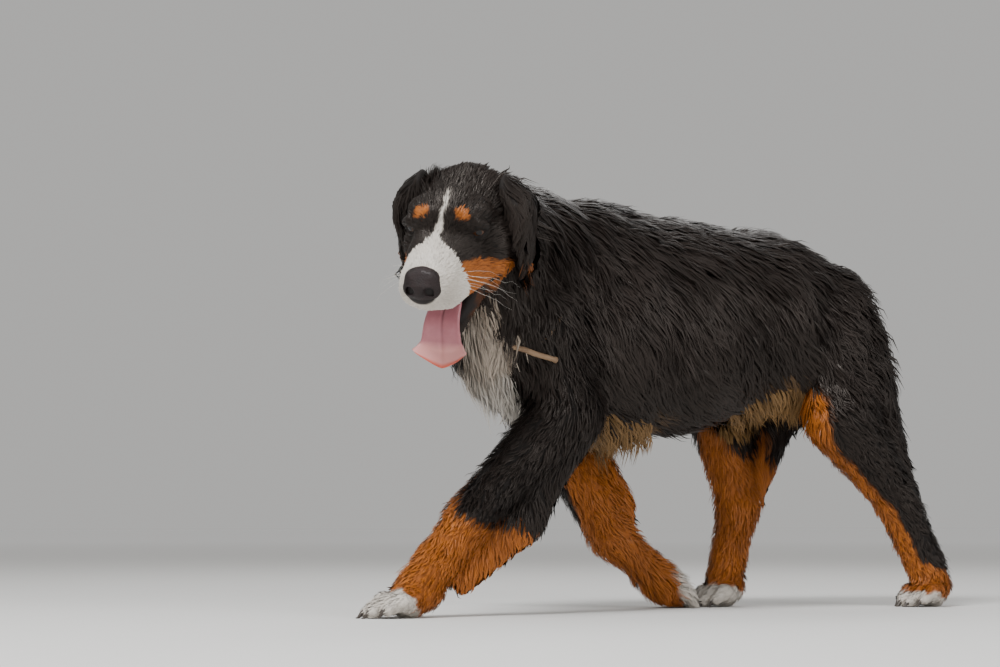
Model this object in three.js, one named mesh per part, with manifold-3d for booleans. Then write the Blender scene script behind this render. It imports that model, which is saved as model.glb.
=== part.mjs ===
// A life-size Bernese mountain dog in a slow walk, as a still model. Its head is turned to its left
// and its mouth is open.
// Millimetres, +Z up. The dog faces -Y and its left side is +X. The paws stand on the plane Z = 0.
import * as THREE from "three";
import { mergeVertices } from "three/addons/utils/BufferGeometryUtils.js";
import Module from "manifold-3d";

const wasm = await Module();
wasm.setup();

// Driving dimensions
const WITHERS = 680; // height of the coat over the shoulder blades
const DRAWN_WITHERS = 680; // the places below are drawn for this height
const HEAD_SIZE = 1.14; // the head is drawn 260 long from nape to nose and scaled by this
const HEAD_YAW = 38; // degrees that the head is turned to the dog's left
const HEAD_PITCH = -35; // degrees that the muzzle points below level
const HEAD_ROLL = -7; // degrees that the left cheek hangs below the right
const GAP = 0.3; // between two nodes that meet
const FLOOR = 5; // the soles are pressed flat at this height of the drawing
const INSET = 0.5; // how far the solid body lies inside its coat, as a share of the coat's depth

const { Vector3, Matrix4 } = THREE;
const radians = THREE.MathUtils.degToRad;
const SIDES = { left: 1, right: -1 };

/** A point by its distance forward, to the dog's left and up. */
const at = (forward, left, up) => new Vector3(left, -forward, up);
const way = (forward, left, up) => at(forward, left, up).normalize();

/** Turns the head's own frame, with its origin in the skull between the ears, into the dog's. */
const headMatrix = (() => {
  const yaw = radians(HEAD_YAW);
  const pitch = radians(HEAD_PITCH);
  const roll = radians(HEAD_ROLL);
  const level = at(-Math.sin(yaw), Math.cos(yaw), 0);
  const fore = at(Math.cos(yaw) * Math.cos(pitch), Math.sin(yaw) * Math.cos(pitch), Math.sin(pitch));
  const crown = new Vector3().crossVectors(level, fore.clone().negate());
  const left = level.clone().multiplyScalar(Math.cos(roll)).addScaledVector(crown, Math.sin(roll));
  const up = crown.clone().multiplyScalar(Math.cos(roll)).addScaledVector(level, -Math.sin(roll));
  const turn = new Matrix4().makeBasis(left, fore.clone().negate(), up);
  return turn.scale(new Vector3(HEAD_SIZE, HEAD_SIZE, HEAD_SIZE)).setPosition(at(391, 184, 620));
})();

/** A rounded limb from a to b whose width is flat times its height; coat is how deep its locks are. */
function limb(a, radiusA, b, radiusB, { flat = 1, coat = 0, blend = 20 } = {}) {
  const squeeze = (p) => new Vector3(p.x / flat, p.y, p.z);
  return { a: squeeze(a), along: squeeze(b).sub(squeeze(a)), radiusA, radiusB, flat, coat, blend };
}

/** How far a point is outside a limb. */
function outsideLimb(shape, p, inset) {
  const from = new Vector3(p.x / shape.flat, p.y, p.z).sub(shape.a);
  const share = THREE.MathUtils.clamp(from.dot(shape.along) / Math.max(shape.along.lengthSq(), 1e-9), 0, 1);
  const radius = THREE.MathUtils.lerp(shape.radiusA, shape.radiusB, share) - inset * shape.coat;
  return from.addScaledVector(shape.along, -share).length() - radius;
}

/** A soft union: two distances meet in a fillet of about the given size. */
function soften(first, second, blend) {
  const share = Math.max(blend - Math.abs(first - second), 0) / blend;
  return Math.min(first, second) - share * share * blend * 0.25;
}

/** The distance outside a group of limbs, each one blended into those before it. */
const outside = (shapes, inset = INSET) => (p) =>
  shapes.reduce((sum, shape) => soften(sum, outsideLimb(shape, p, inset), shape.blend), 1000);

/** The same distance with other limbs carved out of it. */
const carved = (field, hollows, blend) => (p) =>
  hollows.reduce((sum, shape) => -soften(-sum, outsideLimb(shape, p, 0), blend), field(p));

/** The field's steepest way out at a point. */
function slope(field, p) {
  const reach = 1;
  const step = (x, y, z) => field(new Vector3(p.x + x, p.y + y, p.z + z));
  return new Vector3(
    step(reach, 0, 0) - step(-reach, 0, 0),
    step(0, reach, 0) - step(0, -reach, 0),
    step(0, 0, reach) - step(0, 0, -reach),
  ).divideScalar(2 * reach);
}

/** Moves a point along the slope to where the field has the given level, no further than limit. */
function settle(field, p, level = 0, limit = Infinity) {
  const start = p.clone();
  for (let turn = 0; turn < 4; turn += 1) {
    const out = slope(field, p);
    p.addScaledVector(out, (level - field(p)) / Math.max(out.lengthSq(), 0.05));
  }
  const shift = p.clone().sub(start);
  return shift.length() > limit ? start.addScaledVector(shift, limit / shift.length()) : p;
}

/** The crossings of a cell's edges, grouped by the patch of surface that they belong to. */
function patches(inside) {
  const group = new Map();
  const root = (edge) => (group.get(edge) === edge ? edge : root(group.get(edge)));
  const edgeOf = (p, q) => Math.log2(p ^ q) * 8 + (p & q);
  for (let axis = 0; axis < 3; axis += 1) {
    for (const base of [0, 1 << axis]) {
      const across = 1 << ((axis + 1) % 3);
      const up = 1 << ((axis + 2) % 3);
      const ring = [base, base | across, base | across | up, base | up];
      const crossed = ring.map((corner, n) => {
        const next = ring[(n + 1) % 4];
        if (inside[corner] === inside[next]) return null;
        const edge = edgeOf(corner, next);
        if (!group.has(edge)) group.set(edge, edge);
        return edge;
      });
      const count = crossed.filter((edge) => edge !== null).length;
      const link = (first, second) => group.set(root(first), root(second));
      if (count === 2) link(...crossed.filter((edge) => edge !== null));
      if (count === 4) {
        const start = inside[ring[0]] ? 0 : 1;
        link(crossed[start], crossed[(start + 3) % 4]);
        link(crossed[start + 1], crossed[(start + 2) % 4]);
      }
    }
  }
  const sets = new Map();
  for (const edge of group.keys()) sets.set(root(edge), [...(sets.get(root(edge)) ?? []), edge]);
  return [...sets.values()];
}

/** The surface where a field is zero, as facets about one cell wide, closed at the sides of the block. */
function surface(field, corner, opposite, cell) {
  const low = corner.clone().min(opposite);
  const count = corner.clone().max(opposite).sub(low).divide(cell).ceil().addScalar(1).toArray();
  const place = (spot) => new Vector3(...spot).multiply(cell).add(low);
  const slot = ([i, j, k]) => (k * count[1] + j) * count[0] + i;
  const nodes = [];
  for (let k = 0; k < count[2]; k += 1) {
    for (let j = 0; j < count[1]; j += 1) {
      for (let i = 0; i < count[0]; i += 1) nodes.push([i, j, k]);
    }
  }
  const level = nodes.map((spot) => {
    const rim = spot.some((n, axis) => n === 0 || n === count[axis] - 1);
    const value = field(place(spot));
    return rim ? Math.max(value, cell.x / 2) : value;
  });
  const step = (spot, bits) => spot.map((n, axis) => n + ((bits >> axis) & 1));
  const positions = [];
  const vertex = new Map();
  for (const spot of nodes) {
    if (spot.some((n, axis) => n === count[axis] - 1)) continue;
    const levels = [0, 1, 2, 3, 4, 5, 6, 7].map((bits) => level[slot(step(spot, bits))]);
    for (const patch of patches(levels.map((value) => value < 0))) {
      const middle = new Vector3();
      for (const edge of patch) {
        const axis = edge >> 3;
        const start = edge & 7;
        const from = levels[start];
        const to = levels[start | (1 << axis)];
        const crossing = step(spot, start);
        crossing[axis] += from / (from - to);
        middle.add(place(crossing));
        vertex.set(slot(spot) * 24 + edge, positions.length / 3);
      }
      const point = settle(field, middle.divideScalar(patch.length), 0, cell.x * 0.4);
      positions.push(point.x, point.y, point.z);
    }
  }
  const index = [];
  for (const spot of nodes) {
    const inside = level[slot(spot)] < 0;
    for (let axis = 0; axis < 3; axis += 1) {
      if (spot[axis] === count[axis] - 1) continue;
      if (inside === level[slot(step(spot, 1 << axis))] < 0) continue;
      const across = 1 << ((axis + 1) % 3);
      const up = 1 << ((axis + 2) % 3);
      const ring = [across | up, up, 0, across].map((bits) => {
        const cellSpot = spot.map((n, side) => n - ((bits >> side) & 1));
        return vertex.get(slot(cellSpot) * 24 + axis * 8 + bits);
      });
      const [a, b, c, d] = inside ? ring : ring.reverse();
      index.push(a, b, c, a, c, d);
    }
  }
  return meshOf(positions, index);
}

function meshOf(positions, index) {
  const geometry = new THREE.BufferGeometry();
  geometry.setAttribute("position", new THREE.Float32BufferAttribute(positions, 3));
  geometry.setIndex(index);
  return geometry;
}

/** A closed body through elliptical sections; one with no width is a tip. */
function loft(sections, sides) {
  const positions = [];
  const rings = sections.map(({ centre, side, rise, wide, thick }) => {
    const count = wide > 0 ? sides : 1;
    return Array.from({ length: count }, (_, number) => {
      const angle = (number / sides) * Math.PI * 2;
      const point = centre.clone();
      if (wide > 0) {
        point.addScaledVector(side, wide * Math.cos(angle)).addScaledVector(rise, thick * Math.sin(angle));
      }
      positions.push(point.x, point.y, point.z);
      return positions.length / 3 - 1;
    });
  });
  const index = [];
  const cap = (ring, flip) => {
    for (let n = 1; n < ring.length - 1; n += 1) {
      index.push(...(flip ? [ring[0], ring[n + 1], ring[n]] : [ring[0], ring[n], ring[n + 1]]));
    }
  };
  cap(rings[0], true);
  cap(rings[rings.length - 1], false);
  for (let s = 0; s < rings.length - 1; s += 1) {
    const [near, far] = [rings[s], rings[s + 1]];
    for (let n = 0; n < sides; n += 1) {
      const m = (n + 1) % sides;
      if (near.length > 1) index.push(near[n], near[m], far[Math.min(m, far.length - 1)]);
      if (far.length > 1) index.push(near[Math.min(n, near.length - 1)], far[m], far[n]);
    }
  }
  return meshOf(positions, index);
}

/** A closed mesh as a solid that can be joined and cut, turned so that its faces point out. */
function solidOf(geometry) {
  let plain = geometry.clone();
  plain.deleteAttribute("normal");
  plain.deleteAttribute("uv");
  plain = mergeVertices(plain, 1e-4);
  const vertProperties = new Float32Array(plain.attributes.position.array);
  const triVerts = new Uint32Array(plain.index.array);
  const solid = new wasm.Manifold(new wasm.Mesh({ numProp: 3, vertProperties, triVerts }));
  if (solid.volume() >= 0) return solid;
  const turned = triVerts.map((_, n) => triVerts[n - (n % 3) + [0, 2, 1][n % 3]]);
  return new wasm.Manifold(new wasm.Mesh({ numProp: 3, vertProperties, triVerts: turned }));
}

function geometryOf(solid) {
  const { vertProperties, triVerts } = solid.getMesh();
  return meshOf([...vertProperties], [...triVerts]);
}

const moved = (geometry, matrix) => geometry.clone().applyMatrix4(matrix);
const join = (solids) => solids.reduce((sum, solid) => sum.add(solid));
const cut = (solid, ...tools) => tools.reduce((rest, tool) => rest.subtract(tool), solid);

/** The largest closed surface of a solid. */
function largest(solid) {
  return solid.decompose().reduce((best, piece) => (piece.volume() > best.volume() ? piece : best));
}

/** A solid with its surface moved out, so that what it cuts keeps clear of it, at sharp tips too. */
function swollen(solid, reach = GAP) {
  const { vertProperties, triVerts } = solid.getMesh();
  const geometry = meshOf([...vertProperties], [...triVerts]);
  geometry.computeVertexNormals();
  const spots = geometry.attributes.position;
  const normals = geometry.attributes.normal;
  for (let n = 0; n < spots.count; n += 1) {
    const shift = reach * 1.25;
    spots.setXYZ(
      n,
      spots.getX(n) + normals.getX(n) * shift,
      spots.getY(n) + normals.getY(n) * shift,
      spots.getZ(n) + normals.getZ(n) * shift,
    );
  }
  return join([solidOf(geometry), solid]);
}

/** A repeatable stream of numbers from -1 to 1. */
function wobble(seed) {
  let state = seed;
  return () => {
    state = (state * 1664525 + 1013904223) % 4294967296;
    return state / 2147483648 - 1;
  };
}
const vary = wobble(11);
const LOCK_PROFILE = [
  { wide: 0.75, thick: 1 },
  { wide: 1, thick: 0.9 },
  { wide: 0, thick: 0 },
];

/**
 * A flat, tapered lock of the coat that grows along the flow, from under the surface to lift above it.
 * One that is free leaves the surface and bends down as it hangs.
 */
function lock(field, root, flow, { length, wide, lift, sink = 12, hang = 0, free = false }) {
  const reach = length * (1 + 0.14 * vary());
  const turn = 0.16 * vary();
  const start = settle(field, root.clone(), 0, 200);
  const normal = slope(field, start).normalize();
  const ahead = flow.clone().addScaledVector(normal, -flow.dot(normal)).normalize();
  ahead.addScaledVector(new Vector3().crossVectors(normal, ahead), turn).normalize();
  let centre = start.clone().addScaledVector(normal, -sink);
  const sections = LOCK_PROFILE.map(({ wide: broad, thick }, n) => {
    const share = n / (LOCK_PROFILE.length - 1);
    if (n > 0) {
      ahead.lerp(new Vector3(0, 0, -1), hang * share).normalize();
      centre.addScaledVector(ahead, reach / (LOCK_PROFILE.length - 1));
      if (free) centre.addScaledVector(normal, (sink + lift) / (LOCK_PROFILE.length - 1));
      else centre = settle(field, centre, (sink + lift) * (1 - (1 - share) ** 1.7) - sink, 60);
    }
    const out = free ? normal.clone() : slope(field, centre).normalize();
    const side = new Vector3().crossVectors(ahead, out).normalize();
    const rise = new Vector3().crossVectors(side, ahead).normalize();
    if (!free) ahead.addScaledVector(out, -ahead.dot(out)).normalize();
    return { centre: centre.clone(), side, rise, wide: wide * broad, thick: wide * 0.24 * thick };
  });
  return solidOf(loft(sections, 3));
}

/** The space in front of some planes, each a point and the way into the space, opened by grow. */
function region(planes, grow = 0) {
  const block = solidOf(new THREE.BoxGeometry(4000, 4000, 4000));
  return planes.reduce((space, [point, inward]) => {
    const offset = point.dot(inward) - grow;
    return space.trimByPlane([inward.x, inward.y, inward.z], offset);
  }, block);
}
const beyond = (solid, point, inward, gap = GAP / 2) =>
  solid.trimByPlane([inward.x, inward.y, inward.z], point.dot(inward) + gap);

// The trunk: chest, barrel and loin, from the breastbone to the seat
const trunk = [
  limb(at(128, 0, 476), 160, at(40, 0, 482), 196, { flat: 0.81, coat: 40, blend: 10 }),
  limb(at(40, 0, 482), 196, at(-110, 0, 482), 180, { flat: 0.84, coat: 36, blend: 20 }),
  limb(at(-110, 0, 482), 180, at(-290, 0, 505), 150, { flat: 0.92, coat: 36, blend: 30 }),
  limb(at(-290, 0, 505), 150, at(-384, 0, 518), 104, { flat: 1.02, coat: 36, blend: 30 }),
];
// The neck bends to the left and carries the ruff, with the bib under the throat
const neckLine = [at(90, 0, 560), at(215, 52, 585), at(332, 138, 616)];
const neck = [
  limb(neckLine[0], 130, neckLine[1], 112, { coat: 45, blend: 40 }),
  limb(neckLine[1], 110, neckLine[2], 86, { coat: 45, blend: 30 }),
  limb(at(320, 130, 560), 78, at(215, 30, 430), 92, { coat: 55, blend: 40 }),
];
// Each leg by its joints, at their heights in this stride
const legs = {
  foreleg_left: [
    limb(at(110, 70, 590), 78, at(205, 88, 470), 82, { flat: 0.8, coat: 20, blend: 40 }),
    limb(at(205, 88, 470), 82, at(155, 108, 335), 60, { flat: 0.9, blend: 30 }),
    limb(at(160, 108, 325), 58, at(322, 92, 158), 42, { flat: 0.9, blend: 25 }),
    limb(at(122, 106, 325), 36, at(232, 96, 152), 34, { flat: 0.7, coat: 40, blend: 25 }),
    limb(at(232, 96, 152), 34, at(335, 88, 62), 24, { flat: 0.7, coat: 30, blend: 25 }),
    limb(at(322, 92, 158), 41, at(405, 84, 60), 38, { flat: 0.95, blend: 20 }),
  ],
  foreleg_right: [
    limb(at(100, -70, 590), 78, at(195, -88, 465), 80, { flat: 0.8, coat: 20, blend: 40 }),
    limb(at(195, -88, 465), 80, at(70, -108, 335), 62, { flat: 0.9, blend: 30 }),
    limb(at(62, -108, 325), 56, at(-45, -88, 130), 42, { flat: 0.9, blend: 25 }),
    limb(at(20, -104, 330), 36, at(-72, -92, 180), 28, { flat: 0.8, coat: 30, blend: 25 }),
    limb(at(-48, -88, 128), 40, at(-138, -84, 58), 33, { flat: 0.95, blend: 20 }),
  ],
  hindleg_left: [
    limb(at(-394, 72, 500), 92, at(-393, 98, 335), 70, { flat: 0.72, coat: 36, blend: 45 }),
    limb(at(-450, 76, 468), 60, at(-466, 88, 375), 54, { flat: 0.75, coat: 36, blend: 30 }),
    limb(at(-395, 98, 325), 64, at(-520, 88, 190), 42, { flat: 0.8, blend: 30 }),
    limb(at(-470, 88, 380), 46, at(-538, 86, 215), 24, { flat: 0.6, coat: 36, blend: 25 }),
    limb(at(-522, 88, 186), 42, at(-590, 84, 66), 40, { flat: 0.85, blend: 20 }),
  ],
  hindleg_right: [
    limb(at(-389, -72, 500), 92, at(-290, -98, 350), 72, { flat: 0.72, coat: 36, blend: 45 }),
    limb(at(-448, -76, 465), 60, at(-424, -88, 375), 54, { flat: 0.75, coat: 36, blend: 30 }),
    limb(at(-278, -98, 335), 60, at(-306, -86, 176), 40, { flat: 0.8, blend: 30 }),
    limb(at(-400, -88, 370), 52, at(-335, -86, 195), 26, { flat: 0.6, coat: 36, blend: 25 }),
    limb(at(-306, -86, 172), 40, at(-278, -84, 62), 37, { flat: 0.85, blend: 20 }),
  ],
};
const body = outside([...trunk, ...neck, ...Object.values(legs).flat()]);

/** A paw of four toes over its pads, from the last joint of the leg to the tips of the claws. */
function pawShapes({ heel, joint, tip, side, thick }) {
  const ahead = new Vector3().subVectors(tip, joint);
  const across = at(0, 1, 0);
  const shapes = [limb(heel, 26 * thick, joint, 34 * thick, { flat: 1.15, blend: 20 })];
  for (const [place, reach] of [[-1.5, 0.74], [-0.5, 1], [0.5, 1], [1.5, 0.76]]) {
    const spread = (length) => across.clone().multiplyScalar(place * length * -side);
    const root = joint.clone().addScaledVector(ahead, 0.15).add(spread(17));
    const knuckle = joint.clone().addScaledVector(ahead, 0.5 * reach).add(spread(21));
    const end = joint.clone().addScaledVector(ahead, 0.9 * reach).add(spread(20));
    knuckle.z += 5;
    shapes.push(limb(root, 20 * thick, knuckle, 17 * thick, { blend: 8 }));
    shapes.push(limb(knuckle, 17 * thick, end, 13 * thick, { blend: 5 }));
  }
  return shapes;
}
const paws = {
  foreleg_left: { heel: at(392, 84, 40), joint: at(425, 83, 32), tip: at(497, 80, 12), side: 1, thick: 1 },
  foreleg_right: { heel: at(-135, -84, 50), joint: at(-156, -82, 40), tip: at(-200, -80, 3), side: -1, thick: 0.94 },
  hindleg_left: { heel: at(-612, 84, 38), joint: at(-596, 84, 32), tip: at(-540, 82, 12), side: 1, thick: 0.98 },
  hindleg_right: { heel: at(-290, -84, 34), joint: at(-276, -85, 32), tip: at(-224, -86, 12), side: -1, thick: 0.98 },
};
// Where each leg leaves the body, and where its paw begins
const legPlanes = {
  foreleg_left: [
    [at(150, 50, 345), way(0, 0.65, -0.76)],
    [at(150, 50, 345), way(0, 1, 0)],
    [at(76, 50, 345), way(1, 0, 0)],
  ],
  foreleg_right: [
    [at(60, -50, 345), way(0, -0.65, -0.76)],
    [at(60, -50, 345), way(0, -1, 0)],
    [at(-92, -50, 300), way(0.8, 0, -0.6)],
  ],
  hindleg_left: [
    [at(-420, 30, 420), way(0, 0.82, -0.57)],
    [at(-420, 6, 420), way(0, 1, 0)],
    [at(-280, 6, 385), way(-1, 0, 0)],
  ],
  hindleg_right: [
    [at(-420, -30, 420), way(0, -0.82, -0.57)],
    [at(-420, -6, 420), way(0, -1, 0)],
    [at(-198, -6, 385), way(-1, 0, 0)],
  ],
};
const wrists = {
  foreleg_left: [at(378, 88, 92), way(0.65, 0, -0.76)],
  foreleg_right: [at(-112, -84, 78), way(-0.8, 0, -0.6)],
  hindleg_left: [at(-577, 84, 88), way(-0.35, 0, -0.94)],
  hindleg_right: [at(-283, -84, 90), way(0.25, 0, -0.97)],
};
const knees = {
  hindleg_left: [at(-395, 98, 300), way(-0.68, 0, -0.73)],
  hindleg_right: [at(-280, -98, 290), way(-0.1, 0, -1)],
};

// The tail hangs behind the thighs
const tailLine = [at(-412, 0, 590), at(-464, 0, 546), at(-522, 0, 440), at(-548, 2, 330), at(-572, 4, 212)];
const tail = outside([
  limb(tailLine[0], 30, tailLine[1], 34, { coat: 30, blend: 20 }),
  limb(tailLine[1], 34, tailLine[2], 42, { coat: 40, blend: 15 }),
  limb(tailLine[2], 42, tailLine[3], 42, { coat: 44, blend: 15 }),
  limb(tailLine[3], 42, tailLine[4], 20, { coat: 44, blend: 15 }),
]);

// The head, drawn level and looking forward in its own frame
const pair = (shape) => [shape(1), shape(-1)];
const skull = [
  limb(at(-38, 0, -2), 56, at(20, 0, 0), 51, { flat: 1.25, blend: 10 }),
  limb(at(45, 0, -12), 46, at(78, 0, -26), 44, { flat: 1.05, blend: 18 }),
  limb(at(78, 0, -27), 43, at(134, 0, -31), 36, { flat: 1.1, blend: 12 }),
  ...pair((s) => limb(at(56, s * 24, 22), 20, at(36, s * 40, 22), 20, { blend: 14 })),
  ...pair((s) => limb(at(128, s * 21, -46), 22, at(62, s * 36, -48), 24, { blend: 10 })),
  ...pair((s) => limb(at(32, s * 48, -34), 30, at(-22, s * 50, -26), 36, { blend: 16 })),
];
const mouth = [limb(at(50, 0, -84), 24, at(128, 0, -78), 20, { flat: 1.35 })];
const head = carved(outside(skull), mouth, 6);
const jaw = outside([
  ...pair((s) => limb(at(12, s * 40, -58), 20, at(60, s * 26, -92), 16, { blend: 10 })),
  ...pair((s) => limb(at(60, s * 26, -92), 16, at(98, s * 11, -118), 14, { blend: 8 })),
  limb(at(20, 0, -84), 26, at(86, 0, -118), 18, { flat: 1.2, blend: 10 }),
]);
const tongueLine = [at(50, 0, -76), at(88, 0, -92), at(108, 0, -106), at(120, 2, -128), at(138, 6, -158)];
const nosePad = outside([limb(at(146, 0, -16), 17, at(156, 0, -24), 18, { flat: 1.3, blend: 4 })]);
const nostrils = pair((s) => limb(at(172, s * 13, -24), 5.5, at(160, s * 17, -24), 4, {}));
// Each ear is a hanging flap, cupped on the side that lies on the cheek
const earLine = (s) => [at(-24, s * 60, 30), at(-20, s * 82, -6), at(-8, s * 88, -58)];
const ear = (s) => {
  const [root, fold, tip] = earLine(s);
  const flap = outside([
    limb(root, 22, fold, 36, { flat: 0.34, blend: 8 }),
    limb(fold, 36, tip, 18, { flat: 0.34, blend: 8 }),
  ]);
  return carved(flap, [limb(at(-6, s * 69, -10), 15, at(2, s * 77, -42), 9, { flat: 0.6 })], 4);
};
const EYE_RADIUS = 12.5;
const eyeCentre = (s) => at(50, s * 43, 8);

/** A tube along an arc over an eye: the rim of its lid. */
function lid(s, from, to, rise) {
  const look = way(0.86, s * 0.5, 0.02);
  const across = new Vector3().crossVectors(new Vector3(0, 0, 1), look).normalize();
  const upright = new Vector3().crossVectors(look, across);
  const sections = [];
  for (let n = 0; n <= 6; n += 1) {
    const angle = radians(from + ((to - from) * n) / 6);
    const out = across.clone().multiplyScalar(Math.cos(angle)).addScaledVector(upright, Math.sin(angle) * rise);
    const centre = eyeCentre(s).addScaledVector(out, EYE_RADIUS * 0.98).addScaledVector(look, EYE_RADIUS * 0.42);
    sections.push({ centre, side: out, rise: look, wide: 3.6, thick: 5 });
  }
  return loft(sections, 5);
}

// Finishes
const finish = (color, roughness) => new THREE.MeshStandardMaterial({ color, roughness, metalness: 0 });
const finishes = {
  black: finish(0x15110f, 0.55),
  rust: finish(0x8a4a1e, 0.6),
  white: finish(0xe6dccb, 0.6),
  wet: finish(0x1d1517, 0.3),
  pink: finish(0xb06a70, 0.35),
  eye: finish(0x2a1710, 0.1),
  leather: finish(0xa87a48, 0.5),
};

const dog = new THREE.Group();
const made = {};
function keep(name, solid, material) {
  made[name] = largest(solid);
  const mesh = new THREE.Mesh(geometryOf(made[name]), material);
  mesh.name = name;
  dog.add(mesh);
}
/** What a new piece has to keep clear of. */
const clearOf = (...names) => names.map((name) => swollen(made[name]));
const cell = (x, y = x, z = x) => new Vector3(x, y, z);
const headPiece = (field, low, high, size) => solidOf(moved(surface(field, low, high, size), headMatrix));

// The head and its parts
for (const [name, s] of Object.entries(SIDES)) {
  const ball = new THREE.SphereGeometry(EYE_RADIUS, 10, 7);
  ball.translate(...eyeCentre(s).toArray());
  keep(`eye_${name}`, solidOf(moved(ball, headMatrix)), finishes.eye);
}
const nose = headPiece(nosePad, at(185, -35, -60), at(120, 35, 12), cell(10));
const nostrilPieces = nostrils.map((shape) =>
  headPiece(outside([shape]), at(184, -30, -36), at(148, 30, -12), cell(6)),
);
keep("nose", cut(nose, ...nostrilPieces), finishes.wet);

const lids = Object.values(SIDES).flatMap((s) => [lid(s, 12, 168, 0.95), lid(s, 192, 348, 0.8)]);
const face = headPiece(head, at(170, -92, -84), at(-106, 92, 70), cell(16.5));
const dressed = join([face, ...lids.map((rim) => solidOf(moved(rim, headMatrix)))]);
keep("head", cut(dressed, ...clearOf("nose", "eye_left", "eye_right")), finishes.black);

const jawPiece = headPiece(jaw, at(118, -66, -142), at(-10, 66, -40), cell(14));
keep("lower_jaw", cut(jawPiece, ...clearOf("head")), finishes.black);

const tongueSections = tongueLine.map((centre, n) => {
  const ahead = tongueLine[Math.min(n + 1, 4)].clone().sub(tongueLine[Math.max(n - 1, 0)]).normalize();
  const side = at(0, 1, 0);
  const rise = new Vector3().crossVectors(side, ahead).normalize();
  return { centre, side, rise, wide: [16, 26, 31, 38, 33][n], thick: [6, 6, 5.5, 5, 3.5][n] };
});
const tongue = solidOf(moved(loft(tongueSections, 10), headMatrix));
keep("tongue", cut(tongue, ...clearOf("head", "lower_jaw")), finishes.pink);

// A rolled leather collar lies round the base of the neck, under the coat
const COLLAR_THICK = 10;
const collarSections = (() => {
  const middle = at(196, 42, 560);
  const along = way(0.8, 0.42, 0.5);
  const side = new Vector3().crossVectors(along, new Vector3(0, 0, 1)).normalize();
  const rise = new Vector3().crossVectors(side, along);
  const steps = 24;
  return Array.from({ length: steps }, (_, n) => {
    const angle = (n / steps) * Math.PI * 2;
    const out = side.clone().multiplyScalar(Math.cos(angle)).addScaledVector(rise, Math.sin(angle));
    let reach = 40;
    while (body(middle.clone().addScaledVector(out, reach)) < -1) reach += 1;
    return { centre: middle.clone().addScaledVector(out, reach), side: out, rise: along };
  });
})();
/** A closed ring through round sections. */
function ringLoft(sections, radius, sides) {
  const positions = [];
  const index = [];
  const total = sections.length;
  sections.forEach(({ centre, side, rise }, s) => {
    for (let n = 0; n < sides; n += 1) {
      const angle = (n / sides) * Math.PI * 2;
      const point = centre.clone().addScaledVector(side, radius * Math.cos(angle));
      point.addScaledVector(rise, radius * Math.sin(angle));
      positions.push(point.x, point.y, point.z);
      const next = ((s + 1) % total) * sides;
      const m = (n + 1) % sides;
      index.push(s * sides + n, s * sides + m, next + m, s * sides + n, next + m, next + n);
    }
  });
  return meshOf(positions, index);
}
keep("collar", solidOf(ringLoft(collarSections, COLLAR_THICK / 2, 5)), finishes.leather);

// The body, parted into its nodes
const trunkSkin = solidOf(surface(body, at(470, -215, 215), at(-560, 290, 760), cell(52)));
const legRoom = (name, grow) => region(legPlanes[name], grow);
const torso = cut(trunkSkin, ...Object.keys(legs).map((name) => legRoom(name, GAP)));
const throat = [at(175, 30, 520), way(0.86, 0.28, 0.42)];
const ribs = [at(-75, 0, 480), way(1, 0, 0)];
const loin = [at(-300, 0, 480), way(1, 0, 0)];
const reversed = ([point, inward]) => [point, inward.clone().negate()];
const ahead = (p, [point, inward]) => p.clone().sub(point).dot(inward) > 0;
const onLeg = (p) => Object.values(legPlanes).some((planes) => planes.every((plane) => ahead(p, plane)));

/** Where a ray from inside a shape leaves it. */
function rim(field, from, out) {
  let reach = 10;
  while (field(from.clone().addScaledVector(out, reach)) < 0) reach += 4;
  return settle(field, from.clone().addScaledVector(out, reach), 0, 20);
}

/** Rows of locks round a line, each row at its share of the line and each lock at its angle from the top. */
function rows(field, line, shares, angles, flow, size) {
  return shares.flatMap((share, row) => {
    const spot = line.getPoint(share);
    const along = line.getTangent(share).normalize();
    const side = new Vector3().crossVectors(along, new Vector3(0, 0, 1)).normalize();
    const rise = new Vector3().crossVectors(side, along);
    const shift = (row % 2) * 0.5;
    return angles.map((_, n) => {
      const step = angles[Math.min(n + 1, angles.length - 1)] - angles[n];
      const angle = radians(angles[n] + shift * step + 4 * vary());
      const out = side.clone().multiplyScalar(Math.sin(angle)).addScaledVector(rise, Math.cos(angle));
      return { root: rim(field, spot, out), flow: flow(along, out), size, field };
    });
  });
}
const grow = (list) => list.map(({ field, root, flow, size }) => lock(field, root, flow, size));
const curve = (points) => new THREE.CatmullRomCurve3(points);
const within = (list, ...tests) => list.filter(({ root }) => tests.every((test) => test(root)));

/** Wavy hair over the outer face of an ear. */
function earCoat(s) {
  const line = curve(earLine(s));
  const size = { length: 56, wide: 15, lift: 8, sink: 7, free: true };
  return [0.2, 0.62].flatMap((share) =>
    [-0.8, 0.5].map((fore) => {
      const root = rim(ear(s), line.getPoint(share), way(fore, s * 0.8, 0));
      return { field: ear(s), root, flow: way(0.2 * fore, s * 0.3, -0.9), size };
    }),
  );
}
for (const [name, s] of Object.entries(SIDES)) {
  const low = at(30, s > 0 ? 40 : -116, -76);
  const high = at(-66, s > 0 ? 116 : -40, 86);
  const flap = solidOf(surface(ear(s), low, high, cell(13, 15, 17)));
  const matted = solidOf(moved(geometryOf(join([flap, ...grow(earCoat(s))])), headMatrix));
  keep(`ear_${name}`, cut(matted, ...clearOf("head")), finishes.black);
}

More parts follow.
